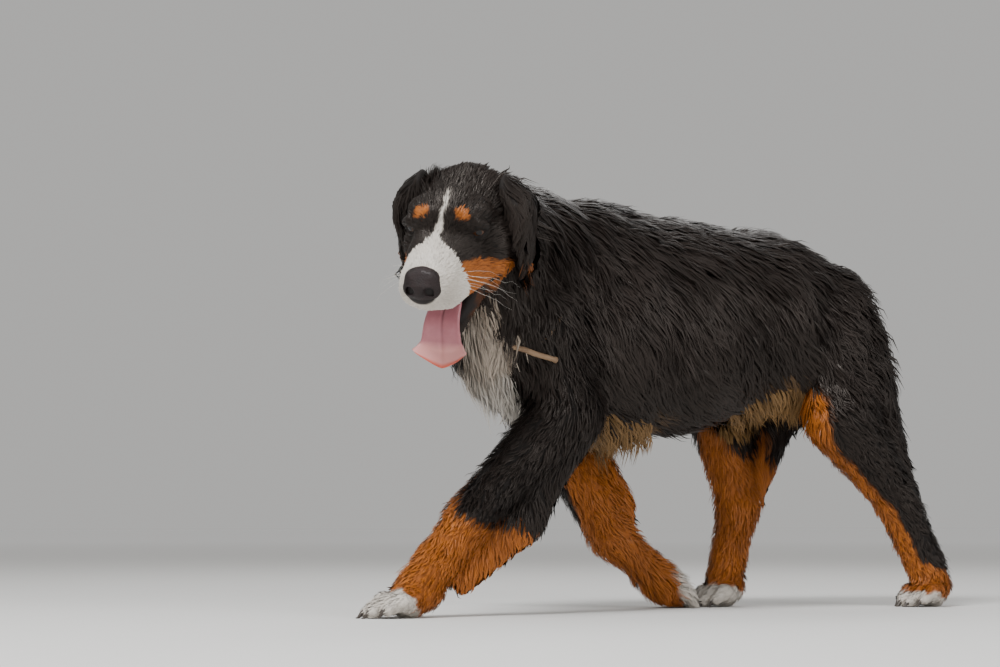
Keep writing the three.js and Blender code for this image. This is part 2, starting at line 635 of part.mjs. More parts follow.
const backLine = curve([at(190, 0, 500), at(0, 0, 490), at(-200, 0, 500), at(-470, 0, 520)]);
const backward = (along, out) => along.clone().addScaledVector(new Vector3(0, 0, -1), 0.35 + 0.2 * out.x ** 2);
const trunkLocks = rows(
  body,
  backLine,
  [0.03, 0.19, 0.35, 0.51, 0.67, 0.84],
  [-110, -74, -38, 0, 38, 74, 110],
  backward,
  { length: 150, wide: 50, lift: 14 },
);
const fringe = rows(body, backLine, [0.2, 0.32, 0.44, 0.56, 0.66], [-164, 164], () => way(-0.7, 0, -0.7), {
  length: 90,
  wide: 24,
  lift: 6,
  hang: 0.3,
  free: true,
});
const neckCurve = curve([at(300, 120, 600), at(215, 52, 575), at(90, 0, 560)]);
const neckLocks = rows(
  body,
  neckCurve,
  [0.08, 0.46],
  [-155, -115, -75, -38, 0, 38, 75, 115, 155],
  (along) => along.clone().addScaledVector(new Vector3(0, 0, -1), 0.75),
  { length: 165, wide: 42, lift: 20 },
);
const isNeck = (p) => ahead(p, throat);
const isChest = (p) => !isNeck(p) && ahead(p, ribs);
const isBarrel = (p) => !ahead(p, ribs) && ahead(p, loin);
const isRump = (p) => !ahead(p, loin);
const offLegs = (p) => !onLeg(p);
const coatOf = (test) => grow(within([...trunkLocks, ...fringe, ...neckLocks], test, offLegs));

const headNames = ["head", "lower_jaw", "ear_left", "ear_right", "tongue", "collar"];
const neckCore = beyond(torso, ...throat);
keep("neck", cut(join([neckCore, ...coatOf(isNeck)]), ...clearOf(...headNames)), finishes.black);
const chestCore = beyond(beyond(torso, ...reversed(throat)), ...ribs);
keep("chest", cut(join([chestCore, ...coatOf(isChest)]), ...clearOf("collar", "neck")), finishes.black);
const barrelCore = beyond(beyond(torso, ...reversed(ribs)), ...loin);
keep("barrel", cut(join([barrelCore, ...coatOf(isBarrel)]), ...clearOf("chest")), finishes.black);
const tailCurve = curve(tailLine);
const tailSkin = solidOf(surface(tail, at(-360, -70, 160), at(-650, 70, 660), cell(26, 26, 40)));
const tailLocks = grow(
  rows(tail, tailCurve, [0.36, 0.6, 0.82], [-135, -45, 45, 135], (along) => along, {
    length: 115,
    wide: 28,
    lift: 20,
    free: true,
    sink: 8,
  }),
);
const tailRoot = [at(-443, 0, 571), way(-0.75, 0, -0.66)];
keep("tail", join([beyond(tailSkin, ...tailRoot), ...tailLocks]), finishes.black);
const rumpCore = beyond(torso, ...reversed(loin));
keep("rump", cut(join([rumpCore, ...coatOf(isRump)]), ...clearOf("barrel", "tail")), finishes.black);

const legBoxes = {
  foreleg_left: [at(460, 20, 20), at(60, 190, 440)],
  foreleg_right: [at(170, -190, 20), at(-200, -20, 440)],
  hindleg_left: [at(-230, -12, 20), at(-660, 190, 640)],
  hindleg_right: [at(-170, -190, 20), at(-560, 12, 640)],
};
/** Long hair that hangs from the back edge of a leg, between two points inside it. */
function feather(from, to, count) {
  const behind = way(-1, 0, -0.35);
  const size = { length: 84, wide: 20, lift: 15 };
  return Array.from({ length: count }, (_, n) => {
    const spot = from.clone().lerp(to, (n + 0.5) / count);
    const out = behind.clone().add(at(0, (n % 2 ? 0.5 : -0.5) + 0.1 * vary(), 0)).normalize();
    return { field: body, root: rim(body, spot, out), flow: way(-0.45, 0, -0.9), size };
  });
}
const legCoat = {
  foreleg_left: feather(at(150, 108, 330), at(320, 92, 165), 5),
  foreleg_right: feather(at(58, -106, 315), at(-30, -90, 165), 4),
  hindleg_left: feather(at(-440, 92, 330), at(-515, 87, 225), 3),
  hindleg_right: feather(at(-325, -98, 325), at(-315, -86, 225), 3),
};
const thighCoat = (side, fore) =>
  rows(
    body,
    curve([at(fore, side * 72, 500), at(fore - 20, side * 92, 350)]),
    [0.05, 0.5],
    side > 0 ? [150, 185, 220, 255, 290] : [70, 105, 140, 175, 210],
    () => way(-0.5, side * 0.15, -0.8),
    { length: 130, wide: 34, lift: 16 },
  );
for (const [name, shapes] of Object.entries(legs)) {
  const [low, high] = legBoxes[name];
  const skin = solidOf(surface(body, low, high, cell(36, 36, 46))).intersect(legRoom(name, 0));
  const above = beyond(skin, ...reversed(wrists[name]));
  const [part, end] = name.split("_");
  const trunkNames = ["neck", "chest", "barrel", "rump", "tail", "collar"];
  if (knees[name]) {
    const thighLocks = grow(within(thighCoat(SIDES[end], end === "left" ? -410 : -380), (p) => onLeg(p)));
    const thigh = join([beyond(above, ...reversed(knees[name])), ...thighLocks]);
    keep(`thigh_${end}`, cut(thigh, ...clearOf(...trunkNames)), finishes.black);
    const shank = join([beyond(above, ...knees[name]), ...grow(legCoat[name])]);
    keep(`shank_${end}`, cut(shank, ...clearOf(`thigh_${end}`, "tail")), finishes.rust);
  } else {
    keep(name, cut(join([above, ...grow(legCoat[name])]), ...clearOf(...trunkNames)), finishes.rust);
  }
  const paw = paws[name];
  const foot = outside([...shapes.slice(-1), ...pawShapes(paw)]);
  const pawBox = new THREE.Box3().setFromPoints([paw.heel, paw.joint, paw.tip]).expandByScalar(64);
  const pawSkin = solidOf(surface(foot, pawBox.min, pawBox.max, cell(18)));
  const pawName = `${part.startsWith("fore") ? "forepaw" : "hindpaw"}_${end}`;
  const pawPiece = beyond(beyond(pawSkin, ...wrists[name]), at(0, 0, FLOOR), way(0, 0, 1), 0);
  keep(pawName, cut(pawPiece, ...clearOf(knees[name] ? `shank_${end}` : name)), finishes.white);
}

// The part stands on the middle of its own outline
const box = new THREE.Box3().setFromObject(dog);
const middle = box.getCenter(new Vector3());
for (const mesh of dog.children) mesh.geometry.translate(-middle.x, -middle.y, -box.min.z);
dog.scale.setScalar(WITHERS / DRAWN_WITHERS);
export default dog;
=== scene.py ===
"""A life-size Bernese mountain dog in a slow walk: skin, coat, eyes, nose and collar over its solids.

Places are in millimetres of one drawing (to the dog's left, backward, up) and go to metres at the end.
"""
import math
from collections import namedtuple

import bpy
import numpy as np
from bpy.props import FloatProperty, FloatVectorProperty, IntProperty, PointerProperty
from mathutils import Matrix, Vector


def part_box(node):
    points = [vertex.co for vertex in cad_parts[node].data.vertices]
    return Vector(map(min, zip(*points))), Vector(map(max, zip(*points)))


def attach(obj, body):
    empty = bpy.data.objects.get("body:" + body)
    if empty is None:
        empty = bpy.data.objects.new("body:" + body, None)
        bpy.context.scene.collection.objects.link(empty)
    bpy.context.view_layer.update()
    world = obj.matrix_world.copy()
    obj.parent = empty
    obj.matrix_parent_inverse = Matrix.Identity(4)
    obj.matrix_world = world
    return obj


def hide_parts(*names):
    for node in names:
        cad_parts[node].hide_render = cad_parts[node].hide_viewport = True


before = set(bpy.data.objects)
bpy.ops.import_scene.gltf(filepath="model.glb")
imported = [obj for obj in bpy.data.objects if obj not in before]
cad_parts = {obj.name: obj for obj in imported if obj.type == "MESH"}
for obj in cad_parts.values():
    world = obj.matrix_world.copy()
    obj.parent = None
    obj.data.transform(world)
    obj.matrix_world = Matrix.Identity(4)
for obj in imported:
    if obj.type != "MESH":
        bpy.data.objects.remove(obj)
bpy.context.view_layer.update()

bl_info = {
    "name": "Bernese mountain dog",
    "version": (1, 0, 0),
    "blender": (4, 5, 0),
    "location": "View3D > Sidebar > Dog",
    "description": "Dresses the solids of a walking dog with skin, coat, eyes, nose, tongue and collar",
    "category": "Object",
}

MM = 0.001
HEAD_SIZE = 1.14
HEAD_YAW, HEAD_PITCH, HEAD_ROLL = map(math.radians, (38, -35, -7))


def at(forward, left, up):
    """A point of the drawing by its distance forward, to the dog's left and up."""
    return np.array([left, -forward, up], float)


def unit(rows):
    rows = np.asarray(rows, float)
    return rows / np.maximum(np.linalg.norm(rows, axis=-1, keepdims=True), 1e-9)


def way(forward, left, up):
    return unit(at(forward, left, up))


def head_turn():
    """The head's own left, back and up in the dog's frame, scaled."""
    level = at(-math.sin(HEAD_YAW), math.cos(HEAD_YAW), 0)
    fore = at(
        math.cos(HEAD_YAW) * math.cos(HEAD_PITCH),
        math.sin(HEAD_YAW) * math.cos(HEAD_PITCH),
        math.sin(HEAD_PITCH),
    )
    crown = np.cross(level, -fore)
    left = level * math.cos(HEAD_ROLL) + crown * math.sin(HEAD_ROLL)
    up = crown * math.cos(HEAD_ROLL) - level * math.sin(HEAD_ROLL)
    return np.array([left, -fore, up]).T * HEAD_SIZE


HEAD_TURN = head_turn()
HEAD_PLACE = at(391, 184, 620)
EYE_RADIUS = 12.5
SIDES = {"left": 1, "right": -1}


def eye_centre(s):
    return at(50, s * 43, 8)


def eye_frame(s, drop):
    """The way an eye looks, a little downward, with the ways across it and up."""
    look = way(0.86, s * 0.46, -drop)
    across = unit(np.cross([0, 0, 1.0], look))
    return look, across, np.cross(look, across)


def drawing_shift():
    """How far the solids stand from the drawing, read at the middle of the left eye."""
    low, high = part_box("eye_left")
    drawn = HEAD_TURN @ eye_centre(1) + HEAD_PLACE
    return (np.array(low) + np.array(high)) / 2 - drawn * MM


SHIFT = drawing_shift()


def metres(points):
    return np.asarray(points) * MM + SHIFT


# Limbs: tapered rounded lengths of the body
Limb = namedtuple("Limb", "a radius_a b radius_b flat blend depth hair lie")


def limb(a, radius_a, b, radius_b, flat=1.0, blend=20, depth=5, hair=9, lie=None):
    """A limb out to the tips of its coat, with the coat's depth, the length of its hair and its lie."""
    return Limb(a, radius_a, b, radius_b, flat, blend, depth, hair, unit(b - a if lie is None else lie))


def outside_limb(shape, points, skin):
    """How far points are outside a limb: outside its skin (skin 1) or outside its coat (skin 0)."""
    squeeze = np.array([1 / shape.flat, 1, 1])
    along = (shape.b - shape.a) * squeeze
    start = (points - shape.a) * squeeze
    share = np.clip(start @ along / max(along @ along, 1e-9), 0, 1)
    radius = shape.radius_a + (shape.radius_b - shape.radius_a) * share - skin * shape.depth
    return np.sqrt(((start - share[:, None] * along) ** 2).sum(1)) - radius


def soften(first, second, blend):
    """The lower of two distances, rounded where they are close to each other."""
    share = np.maximum(blend - np.abs(first - second), 0) / blend
    return np.minimum(first, second) - share * share * blend * 0.25


# Further than any point is from a limb
FAR = 1000.0


class Form:
    """Limbs in one soft union, with hollows cut out of it, turned and placed in the dog."""

    def __init__(self, groups, hollows=(), after=(), turn=np.eye(3), place=np.zeros(3)):
        self.limbs = [shape for shapes in groups.values() for shape in shapes]
        self.names = [name for name, shapes in groups.items() for _ in shapes]
        self.early = [shape for name, shape in zip(self.names, self.limbs) if name not in after]
        self.late = [shape for name, shape in zip(self.names, self.limbs) if name in after]
        self.hollows = hollows
        self.turn = turn
        self.place = place

    def level(self, points, skin=1.0):
        """The distance of points outside the skin (skin 1) or outside the coat (skin 0)."""
        total = np.full(len(points), FAR)
        for shape in self.early:
            total = soften(total, outside_limb(shape, points, skin), shape.blend)
        for shape in self.hollows:
            total = -soften(-total, outside_limb(shape, points, 0), shape.blend)
        for shape in self.late:
            total = soften(total, outside_limb(shape, points, skin), shape.blend)
        return total

    def slope(self, points, skin=1.0, reach=1.0):
        steps = np.eye(3) * reach
        return np.stack(
            [self.level(points + step, skin) - self.level(points - step, skin) for step in steps], 1
        ) / (2 * reach)

    def settle(self, points, target=0.0, share=1.0, turns=2, limit=30.0):
        """Moves points along the slope towards where the level is the target."""
        for _ in range(turns):
            out = self.slope(points)
            step = (target - self.level(points)) / np.maximum((out**2).sum(1), 0.05) * share
            points = points + out * np.clip(step, -limit, limit)[:, None]
        return points

    def coat(self, points):
        """At points: the coat's depth, length and lie, with the number of the nearest limb."""
        gap = np.stack([outside_limb(shape, points, 1) for shape in self.limbs], 1)
        weight = np.exp(-(gap - gap.min(1, keepdims=True)) / 10)
        weight /= weight.sum(1, keepdims=True)
        depth = weight @ np.array([shape.depth for shape in self.limbs])
        hair = weight @ np.array([shape.hair for shape in self.limbs])
        lie = unit(weight @ np.array([shape.lie for shape in self.limbs]))
        return depth, hair, lie, gap.argmin(1)

    def to_dog(self, points):
        return points @ self.turn.T + self.place


# The dog's body, from the breastbone to the seat, with its legs
BACKWARD = way(-1, 0, -0.25)
NECK_LINE = [at(90, 0, 560), at(215, 52, 585), at(332, 138, 616)]
BODY_LIMBS = {
    "chest": [
        limb(at(128, 0, 476), 160, at(40, 0, 482), 196, 0.81, 10, 18, 62, BACKWARD),
        limb(at(40, 0, 482), 196, at(-110, 0, 482), 180, 0.84, 20, 16, 55, BACKWARD),
    ],
    "barrel": [limb(at(-110, 0, 482), 180, at(-290, 0, 505), 150, 0.92, 30, 16, 52, BACKWARD)],
    "rump": [limb(at(-290, 0, 505), 150, at(-384, 0, 518), 104, 1.02, 30, 17, 58, BACKWARD)],
    "neck": [
        limb(NECK_LINE[0], 130, NECK_LINE[1], 112, 1, 40, 26, 80, way(-1, -0.35, -0.5)),
        limb(NECK_LINE[1], 110, NECK_LINE[2], 86, 1, 30, 26, 76, way(-0.9, -0.5, -0.5)),
    ],
    "bib": [limb(at(305, 118, 548), 70, at(215, 30, 430), 90, 1, 40, 28, 80, way(-0.35, -0.1, -1))],
    "foreleg_left": [
        limb(at(110, 70, 590), 78, at(205, 88, 470), 82, 0.8, 40, 12, 46, way(-0.6, 0, -0.9)),
        limb(at(205, 88, 470), 82, at(155, 108, 335), 60, 0.9, 30, 12, 34, way(-0.2, 0, -1)),
        limb(at(160, 108, 325), 58, at(322, 92, 158), 42, 0.9, 25, 8, 20),
        limb(at(122, 106, 325), 36, at(232, 96, 152), 34, 0.7, 25, 9, 40, way(-0.25, 0, -1)),
        limb(at(232, 96, 152), 34, at(335, 88, 62), 24, 0.7, 25, 7, 32, way(-0.1, 0, -1)),
        limb(at(322, 92, 158), 41, at(405, 84, 60), 38, 0.95, 20, 7, 15),
    ],
    "foreleg_right": [
        limb(at(100, -70, 590), 78, at(195, -88, 465), 80, 0.8, 40, 12, 46, way(-0.6, 0, -0.9)),
        limb(at(195, -88, 465), 80, at(70, -108, 335), 62, 0.9, 30, 12, 34, way(-0.4, 0, -1)),
        limb(at(62, -108, 325), 56, at(-45, -88, 130), 42, 0.9, 25, 8, 20),
        limb(at(20, -104, 330), 36, at(-72, -92, 180), 28, 0.8, 25, 9, 36, way(-0.6, 0, -0.8)),
        limb(at(-48, -88, 128), 40, at(-138, -84, 58), 33, 0.95, 20, 7, 15),
    ],
    "hindleg_left": [
        limb(at(-394, 72, 500), 92, at(-393, 98, 335), 70, 0.72, 45, 20, 46, way(-0.6, 0, -0.8)),
        limb(at(-450, 76, 468), 60, at(-466, 88, 375), 54, 0.75, 30, 20, 60, way(-0.4, 0, -0.9)),
        limb(at(-395, 98, 325), 64, at(-520, 88, 190), 42, 0.8, 30, 8, 20),
        limb(at(-470, 88, 380), 46, at(-538, 86, 215), 24, 0.6, 25, 10, 44, way(-0.5, 0, -0.9)),
        limb(at(-522, 88, 186), 42, at(-590, 84, 66), 40, 0.85, 20, 7, 16),
    ],
    "hindleg_right": [
        limb(at(-389, -72, 500), 92, at(-290, -98, 350), 72, 0.72, 45, 20, 46, way(-0.3, 0, -0.9)),
        limb(at(-448, -76, 465), 60, at(-424, -88, 375), 54, 0.75, 30, 20, 60, way(-0.3, 0, -1)),
        limb(at(-278, -98, 335), 60, at(-306, -86, 176), 40, 0.8, 30, 8, 20),
        limb(at(-400, -88, 370), 52, at(-335, -86, 195), 26, 0.6, 25, 10, 42, way(-0.1, 0, -1)),
        limb(at(-306, -86, 172), 40, at(-278, -84, 62), 37, 0.85, 20, 7, 16),
    ],
}
# Where each leg's skin gives way to its paw's: a point and the way towards the paw
WRISTS = {
    "foreleg_left": (at(378, 88, 92), way(0.65, 0, -0.76)),
    "foreleg_right": (at(-112, -84, 78), way(-0.8, 0, -0.6)),
    "hindleg_left": (at(-577, 84, 88), way(-0.35, 0, -0.94)),
    "hindleg_right": (at(-283, -84, 90), way(0.25, 0, -0.97)),
}
PAWS = {
    "foreleg_left": (at(392, 84, 40), at(425, 83, 32), at(497, 80, 12), 1, 1.0),
    "foreleg_right": (at(-135, -84, 50), at(-156, -82, 40), at(-200, -80, 3), -1, 0.94),
    "hindleg_left": (at(-612, 84, 38), at(-596, 84, 32), at(-540, 82, 12), 1, 0.98),
    "hindleg_right": (at(-290, -84, 34), at(-276, -85, 32), at(-224, -86, 12), -1, 0.98),
}
TOES = [(-1.5, 0.74), (-0.5, 1.0), (0.5, 1.0), (1.5, 0.76)]


def toe_line(leg, place, reach):
    """The root, knuckle and end of one toe."""
    _, joint, tip, side, _ = PAWS[leg]
    ahead = tip - joint
    across = at(0, 1, 0) * place * -side
    root = joint + ahead * 0.15 + across * 17
    knuckle = joint + ahead * 0.5 * reach + across * 21 + at(0, 0, 5)
    return root, knuckle, joint + ahead * 0.9 * reach + across * 20


def paw_form(leg):
    heel, joint, tip, _, thick = PAWS[leg]
    lie = unit(tip - joint)
    shapes = [limb(heel, 26 * thick, joint, 34 * thick, 1.15, 20, 5, 12, lie)]
    for place, reach in TOES:
        root, knuckle, end = toe_line(leg, place, reach)
        shapes.append(limb(root, 20 * thick, knuckle, 17 * thick, 1, 8, 4, 9, lie))
        shapes.append(limb(knuckle, 17 * thick, end, 13 * thick, 1, 5, 4, 8, lie))
    return Form({"leg": BODY_LIMBS[leg][-1:], "paw": shapes})


TAIL_LINE = [at(-412, 0, 590), at(-464, 0, 546), at(-522, 0, 440), at(-548, 2, 330), at(-572, 4, 212)]
TAIL = Form(
    {
        "tail": [
            limb(TAIL_LINE[0], 30, TAIL_LINE[1], 34, 1, 20, 14, 60),
            limb(TAIL_LINE[1], 34, TAIL_LINE[2], 42, 1, 15, 22, 85),
            limb(TAIL_LINE[2], 42, TAIL_LINE[3], 42, 1, 15, 24, 90),
            limb(TAIL_LINE[3], 42, TAIL_LINE[4], 20, 1, 15, 24, 80),
        ]
    }
)
BODY = Form(BODY_LIMBS)

# The head in its own frame, in short fur
BACK = way(-1, 0, 0.1)


def pair(fore, radius_a, back, radius_b, *rest, lie=None):
    """A limb on the left of the head and its mirror image on the right."""
    limbs = []
    for side in ([1, 1, 1], [-1, 1, 1]):
        mirrored = None if lie is None else lie * side
        limbs.append(limb(fore * side, radius_a, back * side, radius_b, *rest, lie=mirrored))
    return limbs


def lid_fold(s, lift, radius):
    """A fold of skin over or under the eye, in two lengths."""
    look, across, _ = eye_frame(s, 0.05)
    upright = np.array([0, 0, math.copysign(1.0, lift)])

    def spot(side, rise, angle):
        off = unit(across * s * side + upright * rise)
        return eye_centre(s) + (EYE_RADIUS + 1) * (look * math.cos(angle) + off * math.sin(angle))

    line = [spot(-0.85, 0.5, 0.95), spot(0, 1, abs(lift)), spot(0.9, 0.4, 0.95)]
    lie = way(-0.8, s * 0.6, 0.1)
    return [limb(a, radius, b, radius, 1, 5, 0.6, 6, lie) for a, b in zip(line, line[1:])]


# How high each fold lies over the eye's middle, or under it, and its radius
LID_FOLDS = [(0.72, 4.2), (1.05, 6.0), (-0.78, 3.4)]
HEAD_LIMBS = {
    "skull": [
        limb(at(-38, 0, -2), 56, at(20, 0, 0), 51, 1.25, 10, 7, 17, way(-1, 0, -0.1)),
        limb(at(45, 0, -12), 46, at(78, 0, -26), 44, 1.05, 18, 4, 9, BACK),
        limb(at(78, 0, -27), 43, at(134, 0, -31), 36, 1.1, 12, 2.5, 6, BACK),
        *pair(at(56, 24, 22), 20, at(36, 40, 22), 20, 1, 14, 4, 8, lie=way(-1, 0.3, 0.3)),
        *pair(at(128, 21, -46), 22, at(62, 36, -48), 24, 1, 10, 2.5, 7, lie=way(-1, 0, -0.5)),
        *pair(at(32, 48, -34), 30, at(-22, 50, -26), 36, 1, 16, 8, 26, lie=way(-1, 0, -0.6)),
        *pair(at(42, 38, -58), 20, at(2, 46, -64), 28, 1, 12, 6, 20, lie=way(-0.8, 0.15, -0.8)),
        *pair(at(24, 42, -62), 22, at(20, 36, -88), 20, 1, 12, 5, 18, lie=way(-0.7, 0.1, -0.9)),
    ],
    "jaw": [
        *pair(at(12, 40, -58), 20, at(60, 26, -92), 16, 1, 10, 4, 12, lie=way(-1, 0, -0.8)),
        *pair(at(60, 26, -92), 16, at(98, 11, -118), 14, 1, 8, 3, 9, lie=way(-1, 0, -0.8)),
        limb(at(20, 0, -84), 26, at(86, 0, -118), 18, 1.2, 10, 4, 12, way(-1, 0, -0.9)),
    ],
    "lids": [shape for s in SIDES.values() for fold in LID_FOLDS for shape in lid_fold(s, *fold)],
}
MOUTH = limb(at(50, 0, -84), 24, at(128, 0, -78), 20, 1.35, 6)
HEAD = Form(
    HEAD_LIMBS,
    hollows=[
        MOUTH,
        *pair(at(44, 54, -72), 6, at(72, 30, -80), 7, 1, 5),
        *pair(eye_centre(1), EYE_RADIUS + 0.6, eye_centre(1) + at(6, 3, 0), EYE_RADIUS, 1, 3),
    ],
    after=["jaw", "lids"],
    turn=HEAD_TURN,
    place=HEAD_PLACE,
)


def ear_line(s):
    return [at(-24, s * 60, 30), at(-20, s * 82, -6), at(-8, s * 88, -58)]


def ear_form(s):
    root, fold, tip = ear_line(s)
    hang = way(-0.1, s * 0.15, -1)
    flap = [
        limb(root, 22, fold, 36, 0.34, 8, 3, 34, hang),
        limb(fold, 36, tip, 18, 0.34, 8, 3, 48, hang),
    ]
    cup = limb(at(-6, s * 69, -10), 15, at(2, s * 77, -42), 9, 0.6, 4)
    return Form({"ear": flap}, hollows=[cup], turn=HEAD_TURN, place=HEAD_PLACE)


EARS = {name: ear_form(s) for name, s in SIDES.items()}
PAW_FORMS = {leg: paw_form(leg) for leg in PAWS}


# Meshes from forms
def grid_levels(form, low, high, cell):
    """The form's level on a grid: worked out in full near the skin and roughly elsewhere."""
    stride = 4
    count = (np.ceil((high - low) / cell / stride).astype(int) + 1) * stride + 1
    rough_count = (count - 1) // stride + 1

    def places(shape, step):
        spots = np.stack(np.meshgrid(*[np.arange(n) for n in shape], indexing="ij"), -1).reshape(-1, 3)
        return spots * step + low

    rough = form.level(places(rough_count, cell * stride)).reshape(rough_count)
    near = np.abs(rough) < cell * stride * 2.2
    for axis in range(3):
        near = near | np.roll(near, 1, axis) | np.roll(near, -1, axis)
    spread = [np.minimum(np.arange(n) // stride, m - 1) for n, m in zip(count, rough_count)]
    fine = rough[np.ix_(*spread)]
    mask = near[np.ix_(*spread)]
    spots = np.argwhere(mask)
    fine[mask] = np.concatenate(
        [form.level(part * cell + low) for part in np.array_split(spots, max(1, len(spots) // 400000))]
    )
    return fine


def polygonise(form, low, high, cell):
    """The form's skin as points and quads, one point in each cell that the skin passes through."""
    low, high = np.minimum(low, high), np.maximum(low, high)
    level = grid_levels(form, low, high, cell)
    for axis in range(3):
        for end in (0, -1):
            side = [slice(None)] * 3
            side[axis] = end
            level[tuple(side)] = np.maximum(level[tuple(side)], cell)
    inside = level < 0
    shape = np.array(level.shape)
    total = np.zeros((*(shape - 1), 3))
    tally = np.zeros(shape - 1)
    quads = []
    for axis in range(3):
        near = [slice(None)] * 3
        far = [slice(None)] * 3
        near[axis] = slice(0, -1)
        far[axis] = slice(1, None)
        crossed = np.argwhere(inside[tuple(near)] != inside[tuple(far)])
        step = np.eye(3, dtype=int)[axis]
        start = level[tuple(crossed.T)]
        finish = level[tuple((crossed + step).T)]
        spot = crossed + step * (start / (start - finish))[:, None]
        others = [np.eye(3, dtype=int)[(axis + n) % 3] for n in (1, 2)]
        ring = []
        for back in (others[0] + others[1], others[1], np.zeros(3, int), others[0]):
            cellspot = crossed - back
            ring.append(cellspot)
            key = tuple(cellspot.T)
            np.add.at(total, key, spot)
            np.add.at(tally, key, 1)
        ring = np.stack(ring, 1)
        flip = start >= 0
        ring[flip] = ring[flip][:, ::-1]
        quads.append(ring)
    quads = np.concatenate(quads)
    used = tally > 0
    number = np.full(used.shape, -1)
    number[used] = np.arange(used.sum())
    points = total[used] / tally[used][:, None] * cell + low
    faces = number[tuple(quads.reshape(-1, 3).T)].reshape(-1, 4)
    return points, faces


def ring_quads(rings, sides, closed=False):
    """Quads between rings of points that follow one another, and back to the first ring if closed."""
    ring, side = np.divmod(np.arange((rings if closed else rings - 1) * sides), sides)
    after, beside = (ring + 1) % rings * sides, (side + 1) % sides
    return np.stack([ring * sides + side, ring * sides + beside, after + beside, after + side], 1)


def halved(quads):
    """Two triangles for each quad."""
    return quads[:, [0, 1, 2, 0, 2, 3]].reshape(-1, 3)


def joined(parts):
    """Several sets of points and faces as one."""
    starts = np.cumsum([0] + [len(points) for points, _ in parts])
    faces = np.concatenate([faces + start for (_, faces), start in zip(parts, starts)])
    return np.concatenate([points for points, _ in parts]), faces


def spokes(count, across, upright):
    """Ways out from a middle, evenly round it."""
    angle = np.linspace(0, 2 * math.pi, count, endpoint=False)
    return np.cos(angle)[:, None] * across + np.sin(angle)[:, None] * upright


def on_line(line, shares):
    """Places on a line of points by their share of the way along it."""
    stops = np.linspace(0, 1, len(line))
    return np.stack([np.interp(shares, stops, np.array(line)[:, n]) for n in range(3)], 1)


def make_mesh(name, points, faces, normals=None):
    """An object in metres from points of the drawing and faces that all have the same number of corners."""
    mesh = bpy.data.meshes.new(name)
    corners = faces.shape[1]
    mesh.vertices.add(len(points))
    mesh.vertices.foreach_set("co", metres(points).astype(np.float32).ravel())
    mesh.loops.add(faces.size)
    mesh.loops.foreach_set("vertex_index", faces.astype(np.int32).ravel())
    mesh.polygons.add(len(faces))
    mesh.polygons.foreach_set("loop_start", np.arange(0, faces.size, corners, dtype=np.int32))
    mesh.polygons.foreach_set("use_smooth", np.ones(len(faces), bool))
    mesh.update(calc_edges=True)
    if normals is not None:
        mesh.normals_split_custom_set_from_vertices(normals.tolist())
    piece = bpy.data.objects.new(name, mesh)
    bpy.context.scene.collection.objects.link(piece)
    return piece


def store(piece, name, kind, values):
    """Keeps a number, vector or colour for each point of a piece, for its material."""
    layer = piece.data.attributes.new(name, kind, "POINT")
    field = {"FLOAT": "value", "FLOAT_VECTOR": "vector", "FLOAT_COLOR": "color"}[kind]
    layer.data.foreach_set(field, np.asarray(values, np.float32).ravel())


def dress(piece, finish, slot):
    """Gives a piece its finish and lets it stand with the dog."""
    piece.data.materials.clear()
    piece.data.materials.append(finish)
    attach(piece, "root")
    return piece


# Markings
def ramp(values, start, end):
    share = np.clip((values - start) / (end - start), 0, 1)
    return share * share * (3 - 2 * share)


def ragged(points, length, depth):
    """A smooth wobble of about the given wave length and depth, for the edge of a marking."""
    turns = np.array([[1.0, 0.7, -0.4], [-0.6, 1.1, 0.8], [0.3, -0.9, 1.3], [1.4, 0.2, 0.9]])
    waves = np.sin(points @ turns.T * (2 * math.pi / length) + np.array([0, 1.7, 3.1, 4.4]))
    return waves.sum(1) * depth / 2.5


# For each leg: the side that is rust, and how far round the rust reaches at each height
RUST_SIDES = {
    "foreleg_left": (way(0.8, -0.6, 0), [(136, -1.2), (168, 0.2), (205, 0.72), (330, 1.2)]),
    "foreleg_right": (
        way(-0.3, 0.95, 0),
        [(95, -1.2), (140, -0.6), (190, 0.1), (260, 0.3), (330, 0.45), (390, 1.2)],
    ),
    "hindleg_left": (way(0.95, -0.3, -0.2), [(55, -1.2), (90, 0.25), (300, 0.5), (390, 0.6), (450, 1.2)]),
    "hindleg_right": (way(0.8, 0.5, 0), [(90, -1.2), (120, -0.5), (255, -0.4), (285, 0.75), (400, 1.2)]),
}
# For each leg: a point on the upper edge of the white toes and the way into the white
WHITE_TOES = {
    "foreleg_left": (at(441, 84, 40), way(0.8, 0, -0.6)),
    "foreleg_right": (at(-150, -84, 45), way(-1, 0, 0.35)),
    "hindleg_left": (at(-570, 84, 30), way(0.25, 0, -1)),
    "hindleg_right": (at(-260, -84, 44), way(0.3, 0, -1)),
}


def leg_marks(leg, points, normals):
    """Rust and white on a leg."""
    side, stops = RUST_SIDES[leg]
    heights, limits = zip(*stops)
    edge = ragged(points, 34, 6)
    limit = np.interp(points[:, 2] + edge, heights, limits)
    rust = ramp(normals @ side - limit, -0.12, 0.12)
    place, inward = WHITE_TOES[leg]
    white = ramp((points - place) @ inward + edge * 0.6, -3, 3)
    return rust, white


